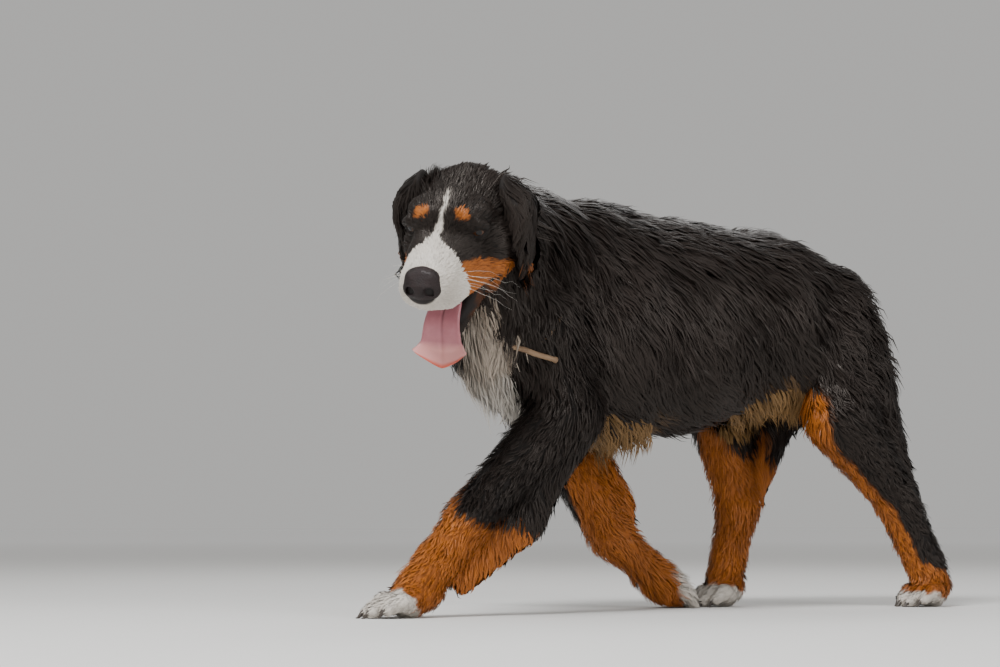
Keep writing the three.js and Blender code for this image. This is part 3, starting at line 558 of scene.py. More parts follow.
def body_marks(points, normals, groups):
    """Rust, white and tan at points of the body, with the name of the nearest group of limbs for each."""
    rust = np.zeros(len(points))
    white = np.zeros(len(points))
    forward = -points[:, 1]
    up = points[:, 2]
    edge = ragged(points, 50, 9)
    for leg in RUST_SIDES:
        mine = groups == leg
        rust[mine], white[mine] = leg_marks(leg, points[mine], normals[mine])
    below = ramp(-normals[:, 2] + edge * 0.01, 0.6, 0.9)
    trunk = np.isin(groups, ["chest", "barrel", "rump"])
    groin = ramp(edge - forward, 190, 235) * ramp(forward - edge, -345, -320)
    tan = np.where(trunk, below * np.maximum(groin, 0.8 * ramp(20 - np.abs(forward), 0, 40)), 0)
    loin_hair = np.isin(groups, ["hindleg_right", "hindleg_left"]) & (np.abs(points[:, 0]) < 62)
    tan = np.where(loin_hair & (up > 300) & (up < 400) & (forward > -350), 0.9, tan)
    bib = unit(normals) @ way(0.78, 0.2, -0.6)
    front = np.isin(groups, ["bib", "neck", "chest"]) & (forward > 120)
    throat = ramp(bib + edge * 0.008, 0.66, 0.78) * ramp(530 + edge - up, -10, 10)
    cream = ramp(up, 400, 440)
    white = np.where(front, throat * (1 - 0.4 * cream), white)
    tan = np.where(front, np.maximum(tan, throat * cream), tan)
    return rust, white, tan


def head_marks(points):
    """Rust and white on the head, in its own frame."""
    forward, left, up = -points[:, 1], np.abs(points[:, 0]), points[:, 2]
    edge = ragged(points, 17, 2.2)
    half = np.interp(forward, [22, 34, 70, 94, 98, 104, 109, 118], [-2, 2.2, 3.4, 5, 8, 15, 28, 60])
    white = ramp(half + edge * 0.8 - left, -2, 2) * (up > -75)
    spot = np.linalg.norm(np.stack([left - 29, forward - 66, up - 36], 1), axis=1)
    rust = ramp(10.5 + edge - spot, -2, 2)
    border = np.interp(forward, [-10, 20, 60, 104], [-68, -54, -33, -14])
    cheek = (
        ramp(forward + edge, -8, 10)
        * ramp(border + edge - up, -3, 3)
        * ramp(left, 26, 34)
        # The cheek's rust fades to a quarter along its lower part: painted shade there.
        * (0.25 + 0.75 * ramp(up + edge, -90, -76))
    )
    rust = np.maximum(rust, cheek * (1 - white))
    white = np.maximum(white, ramp(-up + edge, 122, 130))
    corner = np.linalg.norm(np.stack([forward - 42, up + 72], 1), axis=1)
    rust = rust * ramp(corner, 6, 10)
    return rust, white


# Finishes
class Wire:
    """A value in a finish, so that a sum of wires reads as a sum and adds its own Math nodes."""

    def __init__(self, finish, socket):
        self.finish = finish
        self.socket = socket

    def _with(self, operation, first, second):
        return self.finish.add("ShaderNodeMath", {"operation": operation}, {0: first, 1: second})

    def __add__(self, other):
        return self._with("ADD", self, other)

    def __radd__(self, other):
        return self._with("ADD", other, self)

    def __sub__(self, other):
        return self._with("SUBTRACT", self, other)

    def __rsub__(self, other):
        return self._with("SUBTRACT", other, self)

    def __mul__(self, other):
        return self._with("MULTIPLY", self, other)

    def __rmul__(self, other):
        return self._with("MULTIPLY", other, self)

    def __truediv__(self, other):
        return self._with("DIVIDE", self, other)

    def held(self):
        """The value kept between 0 and 1."""
        return self.finish.add("ShaderNodeClamp", {}, {"Value": self})


class Finish:
    """The nodes of one material."""

    def __init__(self, name):
        self.material = bpy.data.materials.new(name)
        self.material.use_nodes = True
        self.tree = self.material.node_tree
        self.tree.nodes.clear()
        self.shader = self.tree.nodes.new("ShaderNodeBsdfPrincipled")
        end = self.tree.nodes.new("ShaderNodeOutputMaterial")
        self.tree.links.new(self.shader.outputs["BSDF"], end.inputs["Surface"])

    def add(self, kind, settings=None, sockets=None, out=0):
        """A node with its settings, then its sockets' values or links; returns one of its outputs."""
        node = self.tree.nodes.new(kind)
        for key, value in (settings or {}).items():
            if key == "stops":
                for element, (place, colour) in zip(self._stops(node, len(value)), value):
                    element.position = place
                    element.color = (*colour, 1)
            else:
                setattr(node, key, value)
        for key, value in (sockets or {}).items():
            self.join(node.inputs[key], value)
        return Wire(self, node.outputs[out])

    @staticmethod
    def _stops(node, count):
        elements = node.color_ramp.elements
        while len(elements) < count:
            elements.new(1.0)
        return elements

    def join(self, socket, value):
        if isinstance(value, Wire):
            self.tree.links.new(value.socket, socket)
        elif socket.type == "RGBA" and len(value) == 3:
            socket.default_value = (*value, 1)
        else:
            socket.default_value = value

    def mix(self, share, first, second, blend="MIX"):
        """A colour between two colours."""
        settings = {"data_type": "RGBA", "blend_type": blend}
        return self.add("ShaderNodeMix", settings, {0: share, 6: first, 7: second}, 2)

    def ramp(self, value, stops):
        return self.add("ShaderNodeValToRGB", {"stops": stops}, {"Fac": value})

    def stored(self, name):
        """A stored vector or colour as three values."""
        found = self.add("ShaderNodeAttribute", {"attribute_name": name}, {}, "Vector")
        return [self.add("ShaderNodeSeparateXYZ", {}, {0: found}, n) for n in range(3)]

    def place(self):
        return self.add("ShaderNodeTexCoord", {}, {}, "Object")

    def noise(self, vector, scale, detail=3.0, rough=0.55):
        sockets = {"Vector": vector, "Scale": scale, "Detail": detail, "Roughness": rough}
        return self.add("ShaderNodeTexNoise", {}, sockets)

    def cells(self, vector, scale, feature="F1"):
        return self.add("ShaderNodeTexVoronoi", {"feature": feature}, {"Vector": vector, "Scale": scale})

    def vector(self, x, y, z):
        return self.add("ShaderNodeCombineXYZ", {}, {0: x, 1: y, 2: z})

    def bump(self, height, distance, strength=0.5):
        sockets = {"Strength": strength, "Distance": distance, "Height": height}
        return self.add("ShaderNodeBump", {}, sockets)

    def shade(self, **values):
        """Sets or links the shader's own sockets, with _ for each space."""
        for key, value in values.items():
            self.join(self.shader.inputs[key.replace("_", " ")], value)
        return self.material


DARK, BRIGHT = (0, 0, 0), (1, 1, 1)


def pelt_colours(finish, marks, streak, fade, colours):
    """The colours of the markings, streaked along the hair and paler towards its tips: each blends a plain
    copy, painted shade, with a lit copy, painted highlight.
    """
    rust_share, white_share, tan_share = marks
    # The streaks and the tuft's tips take the lit copy: painted highlight over painted shade.
    black = finish.mix((streak * 0.55 + fade * 0.35).held(), colours.black, colours.black_lit)
    rust = finish.mix((streak * 0.7 + fade * 0.3).held(), colours.rust, colours.rust_lit)
    white = finish.mix((streak * 0.8 + fade * 0.2).held(), colours.white, colours.white_lit)
    tan = finish.mix((streak * 0.7 + fade * 0.4).held(), colours.tan, colours.tan_lit)
    base = finish.mix(rust_share, black, rust)
    base = finish.mix(tan_share, base, tan)
    return finish.mix(white_share, base, white)


def coat_finish(colours):
    """Glossy hair: fine streaks along each tuft over the colours of the markings, with broad lighter patches
    painted on as sheen.
    """
    finish = Finish("coat")
    across, along, seed = finish.stored("hair")
    grain = finish.vector(across * 5 + seed * 61, along * 1.3 + seed * 17, seed * 29)
    streak = finish.noise(grain, 1.0, 2.0, 0.6)
    shade = finish.noise(finish.vector(seed * 91, seed * 37, 0.0), 1.0, 0.0)
    # Broad patches where the hair is painted lighter: a painted sheen of light on the locks.
    patch = finish.noise(finish.place(), 13.0, 2.0)
    # Random tone of each tuft, the streaks and the painted sheen patches, towards each colour's lit copy.
    tone_and_sheen = (streak * 0.6 + shade * 0.7 + patch * 0.9 - 0.65).held()
    colour = pelt_colours(finish, finish.stored("coat"), tone_and_sheen, along, colours)
    return finish.shade(
        Base_Color=colour,
        Roughness=0.24 + streak * 0.22,
        Normal=finish.bump(streak, 0.0005, 0.5),
        Specular_IOR_Level=0.24,
        Specular_Tint=(1.0, 0.9, 0.82, 1.0),
    )


def skin_finish(colours):
    """The short fur under the tufts, with bare dark lips and lid rims."""
    finish = Finish("pelt")
    place = finish.place()
    fine = finish.noise(place, 900.0, 4.0, 0.6)
    wide = finish.noise(place, 120.0, 3.0, 0.6)
    # Noise picks between each colour's shaded and lit copies: painted shade and painted highlight in random
    # patches.
    colour = pelt_colours(finish, finish.stored("coat"), (fine * 0.7 + wide * 0.5 - 0.1).held(), 0.1, colours)
    bare, _, _ = finish.stored("bare")
    lip = finish.mix(finish.noise(place, 300.0), colours.lip, colours.lip_lit)
    return finish.shade(
        Base_Color=finish.mix(bare, colour, lip),
        Roughness=(0.8 - bare * 0.25).held(),
        Specular_IOR_Level=0.3,
        Normal=finish.bump(fine + wide * 0.6, 0.0012, 0.5),
    )


def eye_finish(colours):
    """A brown iris with fine spokes round a dark pupil, under a clear wet surface."""
    finish = Finish("eye")
    polar, turn, _ = finish.stored("look")
    spokes = finish.noise(finish.vector(turn * 9, polar * 1.5, 0.0), 4.0, 3.0)
    iris = finish.mix(spokes, colours.iris, colours.iris_lit)
    rim = finish.ramp(polar, [(0.0, DARK), (0.3, DARK), (0.36, BRIGHT), (0.68, BRIGHT), (0.76, DARK)])
    outer = finish.ramp(polar, [(0.0, DARK), (0.78, DARK), (0.88, BRIGHT)])
    base = finish.mix(rim, (0.004, 0.003, 0.003), iris)
    return finish.shade(
        Base_Color=finish.mix(outer, base, (0.035, 0.02, 0.014)),
        Roughness=0.12,
        Specular_IOR_Level=0.3,
        Coat_Weight=0.1,
        Coat_Roughness=0.02,
    )


def nose_finish(colours):
    """Dark pebbled leather, a little purple where it catches the light."""
    finish = Finish("nose")
    place = finish.place()
    pebbles = finish.cells(place, 620.0)
    wide = finish.noise(place, 60.0, 2.0)
    colour = finish.mix((wide * 1.4 - 0.2).held(), colours.nose, colours.nose_lit)
    return finish.shade(
        Base_Color=colour,
        Roughness=0.42 + pebbles * 0.3,
        Specular_IOR_Level=0.3,
        Normal=finish.bump(1 - pebbles, 0.001, 0.6),
        Coat_Weight=0.04,
    )


def tongue_finish(colours):
    """Mauve pink with a fine nap, painted shade in its groove and at its root, pale and then red towards the
    tip.
    """
    finish = Finish("tongue")
    place = finish.place()
    across, along, under = finish.stored("hair")
    nap = finish.cells(place, 1500.0)
    blotch = finish.noise(place, 70.0, 3.0)
    tip = finish.ramp(along, [(0.0, DARK), (0.74, DARK), (0.84, BRIGHT)])
    top = finish.mix(tip, finish.mix(blotch, colours.tongue, colours.tongue_lit), colours.tongue_tip)
    rim = finish.ramp(along, [(0.0, DARK), (0.95, DARK), (0.985, BRIGHT)])
    top = finish.mix(rim, top, colours.tongue_red)
    # Painted shade in the groove, fading towards the tip.
    groove = (1 - across * 9).held() * (1 - along)
    top = finish.mix((groove * 0.8).held(), top, colours.tongue_dark)
    base = finish.mix(under, top, colours.tongue_red)
    # Painted shade at the root, where the tongue goes into the mouth.
    throat = finish.ramp(along, [(0.0, BRIGHT), (0.3, DARK)])
    return finish.shade(
        Base_Color=finish.mix(throat, base, colours.tongue_dark),
        Roughness=0.34 + nap * 0.2,
        Normal=finish.bump(1 - nap, 0.0004, 0.4),
        Subsurface_Weight=0.15,
        Subsurface_Radius=(0.008, 0.003, 0.002),
        Coat_Weight=0.3,
        Coat_Roughness=0.12,
    )


def horn_finish(name, dark, pale):
    """Smooth horn with faint lengthwise streaks."""
    finish = Finish(name)
    streak = finish.noise(finish.place(), 400.0, 3.0)
    return finish.shade(Base_Color=finish.mix(streak, dark, pale), Roughness=0.3 + streak * 0.15)


def leather_finish(colours):
    """Worn tan rolled leather with fine creases."""
    finish = Finish("collar leather")
    place = finish.place()
    crease = finish.cells(place, 420.0, "DISTANCE_TO_EDGE")
    wear = finish.noise(place, 90.0, 4.0)
    return finish.shade(
        Base_Color=finish.mix((wear * 1.5 - 0.3).held(), colours.leather, colours.leather_lit),
        Roughness=0.45 + wear * 0.25,
        Normal=finish.bump(crease, 0.0005, 0.4),
    )


def floor_finish(colours):
    """Pale matt floor with a painted glow far away that fades it into the backdrop."""
    finish = Finish("studio floor")
    grain = finish.noise(finish.place(), 30.0, 2.0)
    away = finish.add("ShaderNodeVectorMath", {"operation": "LENGTH"}, {0: finish.place()}, "Value")
    far = ((away - 4.0) / 10.0).held()
    glow = [colour * BACKDROP_LIGHT * (1 - share) for colour, share in zip(BACKDROP, colours.floor)]
    return finish.shade(
        Base_Color=finish.mix(grain * 0.15, colours.floor, colours.floor_dark),
        Roughness=0.9,
        Specular_IOR_Level=0.1,
        # The far floor glows though it is no lamp: painted light that matches it to the backdrop.
        Emission_Color=finish.mix(far, (0.0, 0.0, 0.0), glow),
        Emission_Strength=1.0,
    )


def colour_property(name, text, value):
    return FloatVectorProperty(
        name=name, description=text, default=value, subtype="COLOR", size=3, min=0, max=1
    )


class DogColours(bpy.types.PropertyGroup):
    """The colours of the coat and of the bare parts."""

    # Each coat colour has a plain copy for hair in painted shade and a lit copy for hair with a painted
    # highlight.
    black: colour_property("Black", "Coat in shade", (0.0016, 0.0014, 0.0015))
    black_lit: colour_property("Black, lit", "Coat where a hair catches the light", (0.032, 0.0235, 0.02))
    rust: colour_property("Rust", "Deep rust of the legs and cheeks", (0.15, 0.04, 0.009))
    rust_lit: colour_property("Rust, lit", "Bright rust", (0.58, 0.175, 0.025))
    white: colour_property("White", "White hair in shade", (0.46, 0.4, 0.33))
    white_lit: colour_property("White, lit", "White hair", (0.86, 0.82, 0.76))
    tan: colour_property("Tan", "Belly hair in shade", (0.1, 0.055, 0.02))
    tan_lit: colour_property("Tan, lit", "Pale belly hair", (0.36, 0.205, 0.08))
    lip: colour_property("Lip", "Bare dark lip", (0.003, 0.002, 0.002))
    lip_lit: colour_property("Lip, lit", "Bare lip where it is worn", (0.014, 0.009, 0.008))
    iris: colour_property("Iris", "Deep brown of the eye", (0.032, 0.012, 0.006))
    iris_lit: colour_property("Iris, lit", "Brown spokes of the eye", (0.1, 0.042, 0.018))
    nose: colour_property("Nose", "Nose leather", (0.004, 0.0025, 0.0025))
    nose_lit: colour_property("Nose, lit", "Worn nose leather", (0.026, 0.014, 0.014))
    tongue: colour_property("Tongue", "Top of the tongue", (0.42, 0.13, 0.16))
    tongue_lit: colour_property("Tongue, lit", "Top of the tongue, paler", (0.58, 0.22, 0.25))
    tongue_tip: colour_property("Tongue tip", "Pale end of the tongue", (0.8, 0.36, 0.34))
    tongue_red: colour_property("Tongue edge", "Red underside of the tongue", (0.72, 0.12, 0.07))
    tongue_dark: colour_property("Tongue root", "Shade at the groove and root", (0.1, 0.02, 0.03))
    claw: colour_property("Claw", "Dark claw", (0.02, 0.015, 0.012))
    claw_lit: colour_property("Claw, lit", "Worn claw", (0.09, 0.07, 0.055))
    leather: colour_property("Leather", "Collar leather", (0.13, 0.07, 0.035))
    leather_lit: colour_property("Leather, lit", "Worn collar leather", (0.36, 0.24, 0.14))
    floor: colour_property("Floor", "Studio floor", (0.78, 0.775, 0.76))
    floor_dark: colour_property("Floor, shade", "Faint grain of the floor", (0.6, 0.6, 0.59))


class DogSizes(bpy.types.PropertyGroup):
    """How dense and long the coat is, and the stage."""

    density: FloatProperty(
        name="Coat density", description="Share of the full number of tufts", default=1.0, min=0.02, max=1.2
    )
    length: FloatProperty(
        name="Coat length", description="Length of all hair against the usual", default=1.0, min=0.3, max=2
    )
    skin_cell: FloatProperty(
        name="Skin cell", description="Facet of the body's skin", default=0.0068, unit="LENGTH"
    )
    head_cell: FloatProperty(
        name="Head cell", description="Facet of the head's skin", default=0.0021, unit="LENGTH"
    )
    seed: IntProperty(name="Seed", description="Start of all random draws", default=7)
    lens: FloatProperty(name="Lens", description="Focal length of the camera", default=85.0, unit="CAMERA")
    light: FloatProperty(name="Key light", description="Power of the key light", default=170.0, unit="POWER")


FINISHES = {}
PELTS = {}


# Skin
CUT_REACH = 110
LEG_OVERLAP, PAW_OVERLAP = 10, 14
PAW_ROOM = 66
# The lids from their rims outward: the angle past the opening, the height over the eye and how bare
LID_PROFILE = [
    (0.0, -0.3, 1.0),
    (0.0, 0.7, 1.0),
    (0.05, 1.3, 0.9),
    (0.12, 1.55, 0.5),
    (0.22, 1.5, 0.1),
    (0.34, 1.2, 0.0),
    (0.5, 1.0, 0.0),
    (0.7, 0.2, 0.0),
    (0.95, -2.5, 0.0),
]


def trimmed(points, quads, planes):
    """Quads without those that lie beyond a plane close to its point."""
    middle = points[quads].mean(1)
    drop = np.zeros(len(quads), bool)
    for point, inward in planes:
        drop |= ((middle - point) @ inward > 0) & (np.linalg.norm(middle - point, axis=1) < CUT_REACH)
    quads = quads[~drop]
    used, index = np.unique(quads, return_inverse=True)
    return points[used], index.reshape(-1, 4)


def form_skin(form, low, high, cell, planes=()):
    points, quads = polygonise(form, low, high, cell)
    points = form.settle(points, limit=cell)
    return trimmed(points, quads, planes) if planes else (points, quads)


def eyelids(s):
    """A shell over the eye with a half closed almond opening, in the head's frame, and how bare it is."""
    look, across, upright = eye_frame(s, 0.05)
    sides = 64
    turns = np.linspace(0, 2 * math.pi, sides, endpoint=False)
    wide, rise, fall, power = 0.76, 0.32, 0.4, 1.5
    tall = np.where(np.sin(turns) > 0, rise, fall)
    bow = (np.abs(np.cos(turns)) / wide) ** power + (np.abs(np.sin(turns)) / tall) ** power
    opening = bow ** (-1 / power)
    flat = spokes(sides, across, upright)
    rows = []
    for reach, out, _ in LID_PROFILE:
        polar = (opening + reach)[:, None]
        rows.append(eye_centre(s) + (EYE_RADIUS + out) * (np.cos(polar) * look + np.sin(polar) * flat))
    bare = np.repeat([value for _, _, value in LID_PROFILE], sides)
    return np.concatenate(rows), ring_quads(len(rows), sides), bare


def lip_marks(points):
    """How bare and dark the head's skin is: the lips, their corners and the inside of the mouth."""
    forward, left, up = -points[:, 1], np.abs(points[:, 0]), points[:, 2]
    mouth = outside_limb(MOUTH, points, 0)
    inner = ramp(-mouth, -7, -3)
    jaw = np.min([outside_limb(shape, points, 1) for shape in HEAD_LIMBS["jaw"]], axis=0)
    corner = np.linalg.norm(np.stack([forward - 44, up + 72], 1), axis=1)
    line = ramp(-jaw, -3, 0) * ramp(left, 2, 6) * (up < -60) * ramp(-mouth, -12, -7)
    nose_bed = ramp(-np.linalg.norm(points - at(152, 0, -24), axis=1), -26, -24)
    return np.maximum.reduce([inner, line, nose_bed, ramp(-corner, -9, -6) * (left > 20)])


def body_skin(sizes):
    """The skin of the body, tail and paws in the dog's frame, with each part's form."""
    cell = sizes.skin_cell / MM
    wrists = [(point + inward * LEG_OVERLAP, inward) for point, inward in WRISTS.values()]
    yield "body", BODY, *form_skin(BODY, at(470, -215, 20), at(-660, 290, 760), cell, wrists)
    yield "tail", TAIL, *form_skin(TAIL, at(-360, -80, 150), at(-660, 80, 660), cell)
    for leg, form in PAW_FORMS.items():
        low = np.min(PAWS[leg][:3], axis=0) - PAW_ROOM
        high = np.max(PAWS[leg][:3], axis=0) + PAW_ROOM
        point, inward = WRISTS[leg]
        cut = [(point - inward * PAW_OVERLAP, -inward)]
        yield f"paw_{leg}", form, *form_skin(form, low, high, cell * 0.5, cut)


def head_skin(sizes):
    cell = sizes.head_cell / MM
    yield "head", HEAD, *form_skin(HEAD, at(180, -100, -150), at(-110, 100, 75), cell)
    for name, s in SIDES.items():
        low, high = at(40, s * 30, -90), at(-70, s * 126, 92)
        yield f"ear_{name}", EARS[name], *form_skin(EARS[name], low, high, cell)


class Pelt:
    """The skin of one form, ready for hair, with the spots that stay bare."""

    def __init__(self, name, form, points, quads):
        self.name = name
        self.form = form
        self.bare = []
        self.corners = points[quads]
        span = self.corners[:, 2] - self.corners[:, 0]
        cross = self.corners[:, 3] - self.corners[:, 1]
        self.area = np.linalg.norm(np.cross(span, cross), axis=1) / 2
        self.middle = self.corners.mean(1)
        _, self.hair, _, nearest = form.coat(self.middle)
        self.group = np.array(form.names)[nearest]

    def roots(self, count, chosen, draw):
        """Places for hair on the chosen quads, closer together where the hair is short."""
        weight = self.area * chosen / np.sqrt(self.hair)
        picks = draw.choice(len(weight), count, p=weight / weight.sum())
        s, t = draw.random((2, count, 1))
        a, b, c, d = self.corners[picks].transpose(1, 0, 2)
        return (a * (1 - s) + b * s) * (1 - t) + (d * (1 - s) + c * s) * t


def pelt_marks(name, form, points):
    """Rust, white and tan at places of one form."""
    none = np.zeros(len(points))
    if name == "head":
        return *head_marks(points), none
    if name.startswith("ear"):
        return *ear_marks(points), none
    if name == "tail":
        return *tail_marks(points), none
    normals = unit(form.slope(points))
    if name.startswith("paw"):
        return *leg_marks(name.removeprefix("paw_"), points, normals), none
    return body_marks(points, normals, np.array(form.names)[form.coat(points)[3]])


def ear_marks(points):
    """Black, with rust along the front edge."""
    forward, up = -points[:, 1], points[:, 2]
    edge = ragged(points, 20, 2)
    front = np.interp(up, [-76, -58, -6, 30], [-8, 10, 16, -2])
    rust = ramp(forward + edge * 0.3 - front, -5, -3) * ramp(-22 - up, -4, 4) * ramp(up + 64, -3, 3)
    return rust * 0.6, np.zeros(len(points))


def tail_marks(points):
    """Black, with rust under the root and a white tip."""
    tip = ramp(270 + ragged(points, 40, 12) - points[:, 2], -10, 10)
    middle = np.interp(points[:, 2], [440, 546, 590], [-522, -464, -412])
    under = ramp(-points[:, 1] - middle, 14, 26) * ramp(points[:, 2] - 460, 0, 30)
    return under * 0.8, tip


class OBJECT_OT_dog_skin(bpy.types.Operator):
    """Makes the one skin of the dog from its body, tail, paws, head, ears and lids"""

    bl_idname = "object.dog_skin"
    bl_label = "Skin"

    def execute(self, context):
        sizes = context.scene.dog_sizes
        parts, marks, bare = [], [], []
        for name, form, points, quads in [*body_skin(sizes), *head_skin(sizes)]:
            PELTS[name] = Pelt(name, form, points, quads)
            parts.append((form.to_dog(points), quads))
            marks.append(np.stack(pelt_marks(name, form, points), 1))
            bare.append(lip_marks(points) if name == "head" else np.zeros(len(points)))
        for s in SIDES.values():
            points, quads, rims = eyelids(s)
            parts.append((HEAD.to_dog(points), quads))
            marks.append(np.zeros((len(points), 3)))
            bare.append(rims)
        piece = make_mesh("dog_skin", *joined(parts))
        store(piece, "coat", "FLOAT_VECTOR", np.concatenate(marks))
        store(piece, "bare", "FLOAT_VECTOR", np.repeat(np.concatenate(bare)[:, None], 3, 1))
        dress(piece, FINISHES["skin"], "black_coat")
        apart = ("eye", "nose", "tongue", "collar")
        flesh = [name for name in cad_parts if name.split("_")[0] not in apart]
        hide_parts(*flesh)
        return {"FINISHED"}


# Coat
# A tuft's three corners, across it and out from the skin, and how far they face to the sides
CROSS = np.array([[-0.5, 0.0], [0.0, 0.2], [0.5, 0.0]])
ROUND = 1.1
# A tuft that reaches below this height is pressed nearly flat on it
GROUND = 1.0 - SHIFT[2] / MM
PRESSED = 0.95
# The free edge of each chart and the size of a tuft's patch on it, as shares of the map
CHART_EDGE, TUFT_PATCH = 0.03, 0.003
# The width of each ring of a tuft of three or two rings
WIDTHS = {3: [0.5, 1.0, 0.66], 2: [0.7, 0.95]}


def tuft_faces(count, rings):
    """The facets of closed tufts of three sides that end in a tip."""
    one = [[0, 2, 1]]
    for ring in range(rings - 1):
        for n in range(3):
            a, b = ring * 3 + n, ring * 3 + (n + 1) % 3
            one += [[a, b + 3, a + 3], [a, b, b + 3]]
    last = (rings - 1) * 3
    one += [[last + n, last + (n + 1) % 3, rings * 3] for n in range(3)]
    return (np.array(one)[None] + (np.arange(count) * (rings * 3 + 1))[:, None, None]).reshape(-1, 3)


def charts(form, nearest, root):
    """The place of each root on an unwrap of the skin: one chart for each limb, turned round its axis."""
    used = np.unique(nearest)
    columns = math.ceil(math.sqrt(len(used)))
    spots = np.zeros((len(root), 2))
    for number, which in enumerate(used):
        mine = nearest == which
        shape = form.limbs[which]
        axis = unit(shape.b - shape.a)
        side = unit(np.cross(axis, [0.3, 0.2, 1.0]))
        rise = np.cross(axis, side)
        off = root[mine] - shape.a
        turn = np.arctan2(off @ rise, off @ side) / (2 * math.pi) + 0.5
        length = max(np.linalg.norm(shape.b - shape.a), 1e-6)
        climb = np.clip((off @ axis / length + 0.5) / 2, 0, 1)
        cell = np.stack([turn, climb], 1) * (1 - 2 * CHART_EDGE) + CHART_EDGE
        spots[mine] = (cell + [number % columns, number // columns]) / columns
    return spots


def tuft_lines(form, root, kind, draw, sizes):
    """The middle lines of tufts that follow the lie, wave, hang and gather in locks, with their widths."""
    rings, count = kind.rings, len(root)
    depth, hair, lie, _ = form.coat(root)
    normal = unit(form.slope(root))
    down = unit(np.linalg.inv(form.turn) @ np.array([0, 0, -1.0]))
    lie = lie + down * (kind.fall * (1 - np.abs(normal @ down)))[:, None]
    ahead = unit(lie - normal * (lie * normal).sum(1, keepdims=True))
    swirl = ragged(root, 120, 0.22) + ragged(root + 40, 47, 0.14) + draw.normal(0, 0.1, count)
    ahead = unit(ahead + np.cross(normal, ahead) * swirl[:, None])
    length = hair * sizes.length * kind.stretch * np.clip(1 + draw.normal(0, 0.2, count), 0.5, 1.6)
    free = draw.random(count) < kind.fly
    height = depth * kind.lift * (0.4 + 0.6 * draw.random(count)) * (1 + ragged(root, 75, 0.25)) * (1 + free)
    centre = root - normal * np.minimum(depth * 0.15, 2)[:, None]
    line = [centre]
    heading = ahead
    for ring in range(1, rings + 1):
        reach = ring / rings
        heading = unit(heading + down * (kind.droop * reach))
        centre = centre + heading * (length / rings)[:, None]
        centre = form.settle(centre, height * (1 - (1 - reach) ** 1.7), share=0.85, turns=1, limit=12)
        line.append(centre)
    line = np.stack(line, 1)
    side = np.cross(ahead, normal)
    phase = ragged(root, 70, 2.4) + draw.normal(0, 0.5, count)
    for ring in range(1, rings + 1):
        sway = np.sin(phase + ring * 2.1) * kind.wave * ring / rings
        line[:, ring] += side * (sway * length)[:, None]
    guides = draw.choice(count, max(2, count // 9), replace=False)
    guide = guides[nearest_rows(root, root[guides])]
    for ring in range(1, rings + 1):
        pull = kind.clump * (ring / rings) ** 1.4
        line[:, ring] += (line[guide, ring] - line[:, ring]) * pull
    broad = kind.wide * np.clip(np.sqrt(hair / 40), 0.45, 1.3)
    return line, normal, broad * np.clip(1 + draw.normal(0, 0.22, count), 0.5, 1.7)


def tuft_corners(line, normal, broad):
    """The corners of tufts, three to a ring and one at the tip, and the way each corner faces."""
    rings = line.shape[1] - 1
    rows, bent = [], []
    for ring, width in enumerate(WIDTHS[rings]):
        along = unit(line[:, ring + 1] - line[:, max(ring - 1, 0)])
        out = unit(normal - along * (normal * along).sum(1, keepdims=True))
        beside = np.cross(along, out)
        for across, rise in CROSS:
            rows.append(line[:, ring] + (beside * across + out * rise) * (broad * width)[:, None])
            bent.append(unit(out + beside * across * ROUND))
    rows.append(line[:, rings])
    bent.append(unit(out))
    return np.stack(rows, 1), np.stack(bent, 1)


def unwrap_tufts(piece, form, root, across, along):
    """A map for the baked look: each tuft on a small patch at its root's place on the unwrapped skin."""
    spots = charts(form, form.coat(root)[3], root)
    patch = np.stack([across - 0.5, along - 0.5], 1) * TUFT_PATCH
    places = (spots[:, None] + patch[None]).reshape(-1, 2)
    layer = piece.data.uv_layers.new(name="OFBake")
    corners = np.empty(len(piece.data.loops), np.int32)
    piece.data.loops.foreach_get("vertex_index", corners)
    layer.data.foreach_set("uv", places[corners].astype(np.float32).ravel())


def tufts(name, pelt, chosen, kind, draw, sizes):
    """Hair over the chosen quads of a pelt, as one piece of flat tufts."""
    form, rings = pelt.form, kind.rings
    root = pelt.roots(max(8, int(kind.count * sizes.density)), chosen, draw)
    line, normal, broad = tuft_lines(form, root, kind, draw, sizes)
    points, bent = tuft_corners(line, normal, broad)
    seed = draw.random(len(root))
    shown = np.ones(len(root), bool)
    for spot, reach in pelt.bare:
        shown &= np.linalg.norm(line - spot, axis=2).min(1) > reach
    points, bent, root, seed = points[shown], bent[shown], root[shown], seed[shown]
    count, each = len(root), rings * 3 + 1
    placed = form.to_dog(points.reshape(-1, 3))
    placed[:, 2] += np.maximum(GROUND - placed[:, 2], 0) * PRESSED
    turned = unit(bent.reshape(-1, 3) @ form.turn.T)
    piece = make_mesh(name, placed, tuft_faces(count, rings), turned)
    across = np.array([*(list(CROSS[:, 0] + 0.5) * rings), 0.5])
    along = np.array([*np.repeat(np.arange(rings) / rings, 3), 1.0])
    hairs = np.stack([np.tile(across, count), np.tile(along, count), np.repeat(seed, each)], 1)
    store(piece, "hair", "FLOAT_VECTOR", hairs)
    marks = np.stack(pelt_marks(pelt.name, form, root), 1)
    if kind.tan:
        marks[:, 2] = np.maximum(marks[:, 2], kind.tan)
    store(piece, "coat", "FLOAT_VECTOR", np.repeat(marks, each, 0))
    unwrap_tufts(piece, form, root, across, along)
    dress(piece, FINISHES["coat"], kind.slot)


def nearest_rows(points, centres):
    """For each point the number of the nearest centre."""
    found = np.empty(len(points), int)
    for part in np.array_split(np.arange(len(points)), max(1, len(points) // 1500)):
        gap = ((points[part, None] - centres[None]) ** 2).sum(2)
        found[part] = gap.argmin(1)
    return found


